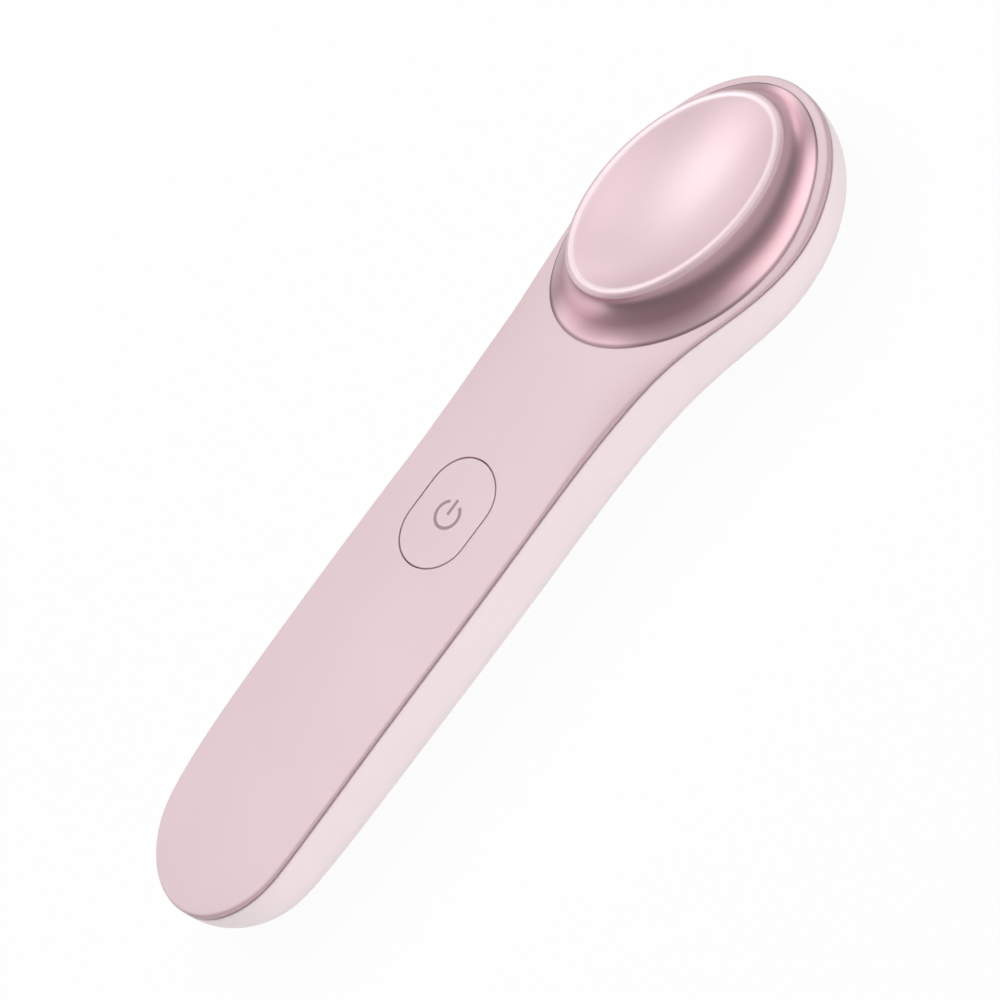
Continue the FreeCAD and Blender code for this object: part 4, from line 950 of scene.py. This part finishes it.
def cupFinish(name, look):
    finish, s, shader = newFinish(name)
    grain = s.add("ShaderNodeGroup")
    grain.node_tree = surfaceGrain
    grain.inputs["Mottle Scale"].default_value = look["mottleScale"]
    grain.inputs["Grain Scale"].default_value = look["grainScale"]
    stored = s.add("ShaderNodeAttribute", attribute_name="cupZone").outputs["Fac"]
    zone = s.times(stored, 1 / cupZones["foot"][1])
    uneven = s.times(s.minus(grain.outputs["Mottle"], 0.5), look["mottle"])
    # Base colour: the rose tone with its painted highlights and painted shade, by zone
    s.feed(shader.inputs["Base Color"], zoneRamp(s, s.plus(zone, uneven), look["zones"]))
    s.feed(shader.inputs["Metallic"], zoneRamp(s, zone, look["metalShares"]))
    s.feed(shader.inputs["Roughness"], zoneRamp(s, zone, look["roughShares"]))
    bump = s.add("ShaderNodeBump")
    bump.inputs["Strength"].default_value = look["bump"]
    bump.inputs["Distance"].default_value = look["bumpDepth"]
    s.feed(bump.inputs["Height"], grain.outputs["Grain"])
    s.feed(shader.inputs["Normal"], bump.outputs[0])
    return finish


finishes["roseMetal"] = cupFinish("roseMetal", roseMetal)
print("finishes made:", len(finishes))

metalCup = makeCup(frontShell, finishes["roseMetal"])

dressed = (
    (frontShell, "front_cover", "casing", "front_pink", "frontPink"),
    (rearShell, "rear_cover", "casing", "rear_pink", "rearPink"),
    (metalCup, "massage_head", "casing", "rose_metal", "roseMetal"),
    (buttonCap, "power_button", "button", "button_pink", "buttonPink"),
    (powerSign, None, "button", "button_pink", "signPrint"),
    (chargeSocket, "usb_socket", "casing", "socket_steel", "socketSteel"),
)
for piece, node, body, slotName, finishName in dressed:
    piece.data.materials.clear()
    piece.data.materials.append(finishes[finishName])
    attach(piece, body)
    if node:
        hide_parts(node)

slotFinish = {row["node"]: row["material_slot"] for row in frame["record"]["subparts"]}


def camel(words):
    first, *rest = words.split("_")
    return first + "".join(word.capitalize() for word in rest)


for node, obj in frame["nodes"].items():
    for place in obj.material_slots:
        place.material = finishes[camel(slotFinish[node])]
print("pieces dressed")

# Camera: long lens, from the wand's right, rolled so that the head points to the upper right
shot = {"lens": 300.0, "sensor": 36.0, "aim": (3.82, 0.69, 14.9), "elevation": 48.6, "roll": 53.1,
        "pixelsPerMm": 7.126, "imageSize": 1000, "clipEnd": 20.0}


def setCamera():
    data = bpy.data.cameras.new("shot")
    data.lens = shot["lens"]
    data.sensor_width = shot["sensor"]
    data.clip_end = shot["clipEnd"]
    camera = bpy.data.objects.new("shot", data)
    bpy.context.scene.collection.objects.link(camera)
    lift = math.radians(shot["elevation"])
    towards = Vector((math.cos(lift), 0, math.sin(lift)))
    alongWand = Vector((0, 1, 0))
    acrossWand = alongWand.cross(towards)
    roll = math.radians(shot["roll"])
    right = alongWand * math.cos(roll) + acrossWand * math.sin(roll)
    up = towards.cross(right)
    width = shot["imageSize"] / shot["pixelsPerMm"] * mm
    distance = shot["lens"] / shot["sensor"] * width
    place = Vector(shot["aim"]) * mm + towards * distance
    turn = Matrix((right, up, towards)).transposed().to_4x4()
    camera.matrix_world = Matrix.Translation(place) @ turn
    bpy.context.scene.camera = camera


setCamera()

# Pale floor, white to the camera but for a faint shadow, lengths in metres
ground = {"size": 3.0, "below": 5e-5, "colour": (0.86, 0.86, 0.86), "rough": 0.9, "whiteShare": 0.95}


def makeFloor():
    mesh = bpy.data.meshes.new("floor")
    half = ground["size"] / 2
    corners = ((-half, -half), (half, -half), (half, half), (-half, half))
    mesh.from_pydata([(x, y, -ground["below"]) for x, y in corners], [], [(0, 1, 2, 3)])
    floor = bpy.data.objects.new("floor", mesh)
    bpy.context.scene.collection.objects.link(floor)
    finish, s, shader = newFinish("paleFloor")
    shader.inputs["Base Color"].default_value = (*ground["colour"], 1)
    shader.inputs["Roughness"].default_value = ground["rough"]
    shader.inputs["Specular IOR Level"].default_value = 0.0
    white = s.add("ShaderNodeEmission")
    path = s.add("ShaderNodeLightPath")
    seen = s.math("MAXIMUM", path.outputs["Is Camera Ray"],
                  s.math("MAXIMUM", path.outputs["Is Glossy Ray"], path.outputs["Is Transmission Ray"]))
    share = s.times(seen, ground["whiteShare"])
    blend = s.add("ShaderNodeMixShader")
    s.feed(blend.inputs[0], share)
    s.feed(blend.inputs[1], shader.outputs[0])
    s.feed(blend.inputs[2], white.outputs[0])
    s.feed(finish.node_tree.nodes["Material Output"].inputs["Surface"], blend.outputs[0])
    mesh.materials.append(finish)


makeFloor()

# Soft studio light, lengths in metres: a lamp lights the surfaces, is mirrored in the gloss, or both
lamps = {
    "key": {"place": (-0.34, 0.02, 0.82), "size": (0.75, 0.75), "power": 4.9, "seenAs": ("light", "mirror")},
    "rightPanel": {"place": (0.42, 0.50, 0.62), "size": (1.0, 0.28), "power": 2.4, "seenAs": ("mirror",)},
    "headPanel": {"place": (-0.38, 0.86, 0.24), "size": (0.9, 0.24), "power": 2.1, "seenAs": ("mirror",)},
    "leftPanel": {"place": (-0.70, -0.80, 0.32), "size": (1.35, 0.8), "power": 4.5, "seenAs": ("mirror",)},
    "fill": {"place": (0.87, 0.15, 0.10), "size": (0.9, 0.2), "power": 3.5, "seenAs": ("light",)},
}
sky = {"horizon": 0.18, "zenith": 0.56}


def setLights():
    for name, lamp in lamps.items():
        data = bpy.data.lights.new(name, "AREA")
        data.shape = "RECTANGLE"
        data.size, data.size_y = lamp["size"]
        data.energy = lamp["power"]
        light = bpy.data.objects.new(name, data)
        bpy.context.scene.collection.objects.link(light)
        light.location = lamp["place"]
        light.rotation_euler = Vector(lamp["place"]).to_track_quat("Z", "Y").to_euler()
        light.visible_diffuse = "light" in lamp["seenAs"]
        light.visible_glossy = "mirror" in lamp["seenAs"]
    world = bpy.data.worlds.new("studio")
    world.use_nodes = True
    s = NodeSheet(world.node_tree)
    place = s.add("ShaderNodeTexCoord")
    parts = s.add("ShaderNodeSeparateXYZ")
    s.feed(parts.inputs[0], place.outputs["Generated"])
    height = s.add("ShaderNodeMapRange")
    height.inputs["To Min"].default_value = sky["horizon"]
    height.inputs["To Max"].default_value = sky["zenith"]
    s.feed(height.inputs["Value"], parts.outputs["Z"])
    back = world.node_tree.nodes["Background"]
    back.inputs["Color"].default_value = (1, 1, 1, 1)
    s.feed(back.inputs["Strength"], height.outputs[0])
    bpy.context.scene.world = world
    bpy.context.scene.view_settings.view_transform = "Standard"


setLights()
print("camera, floor and lights set")
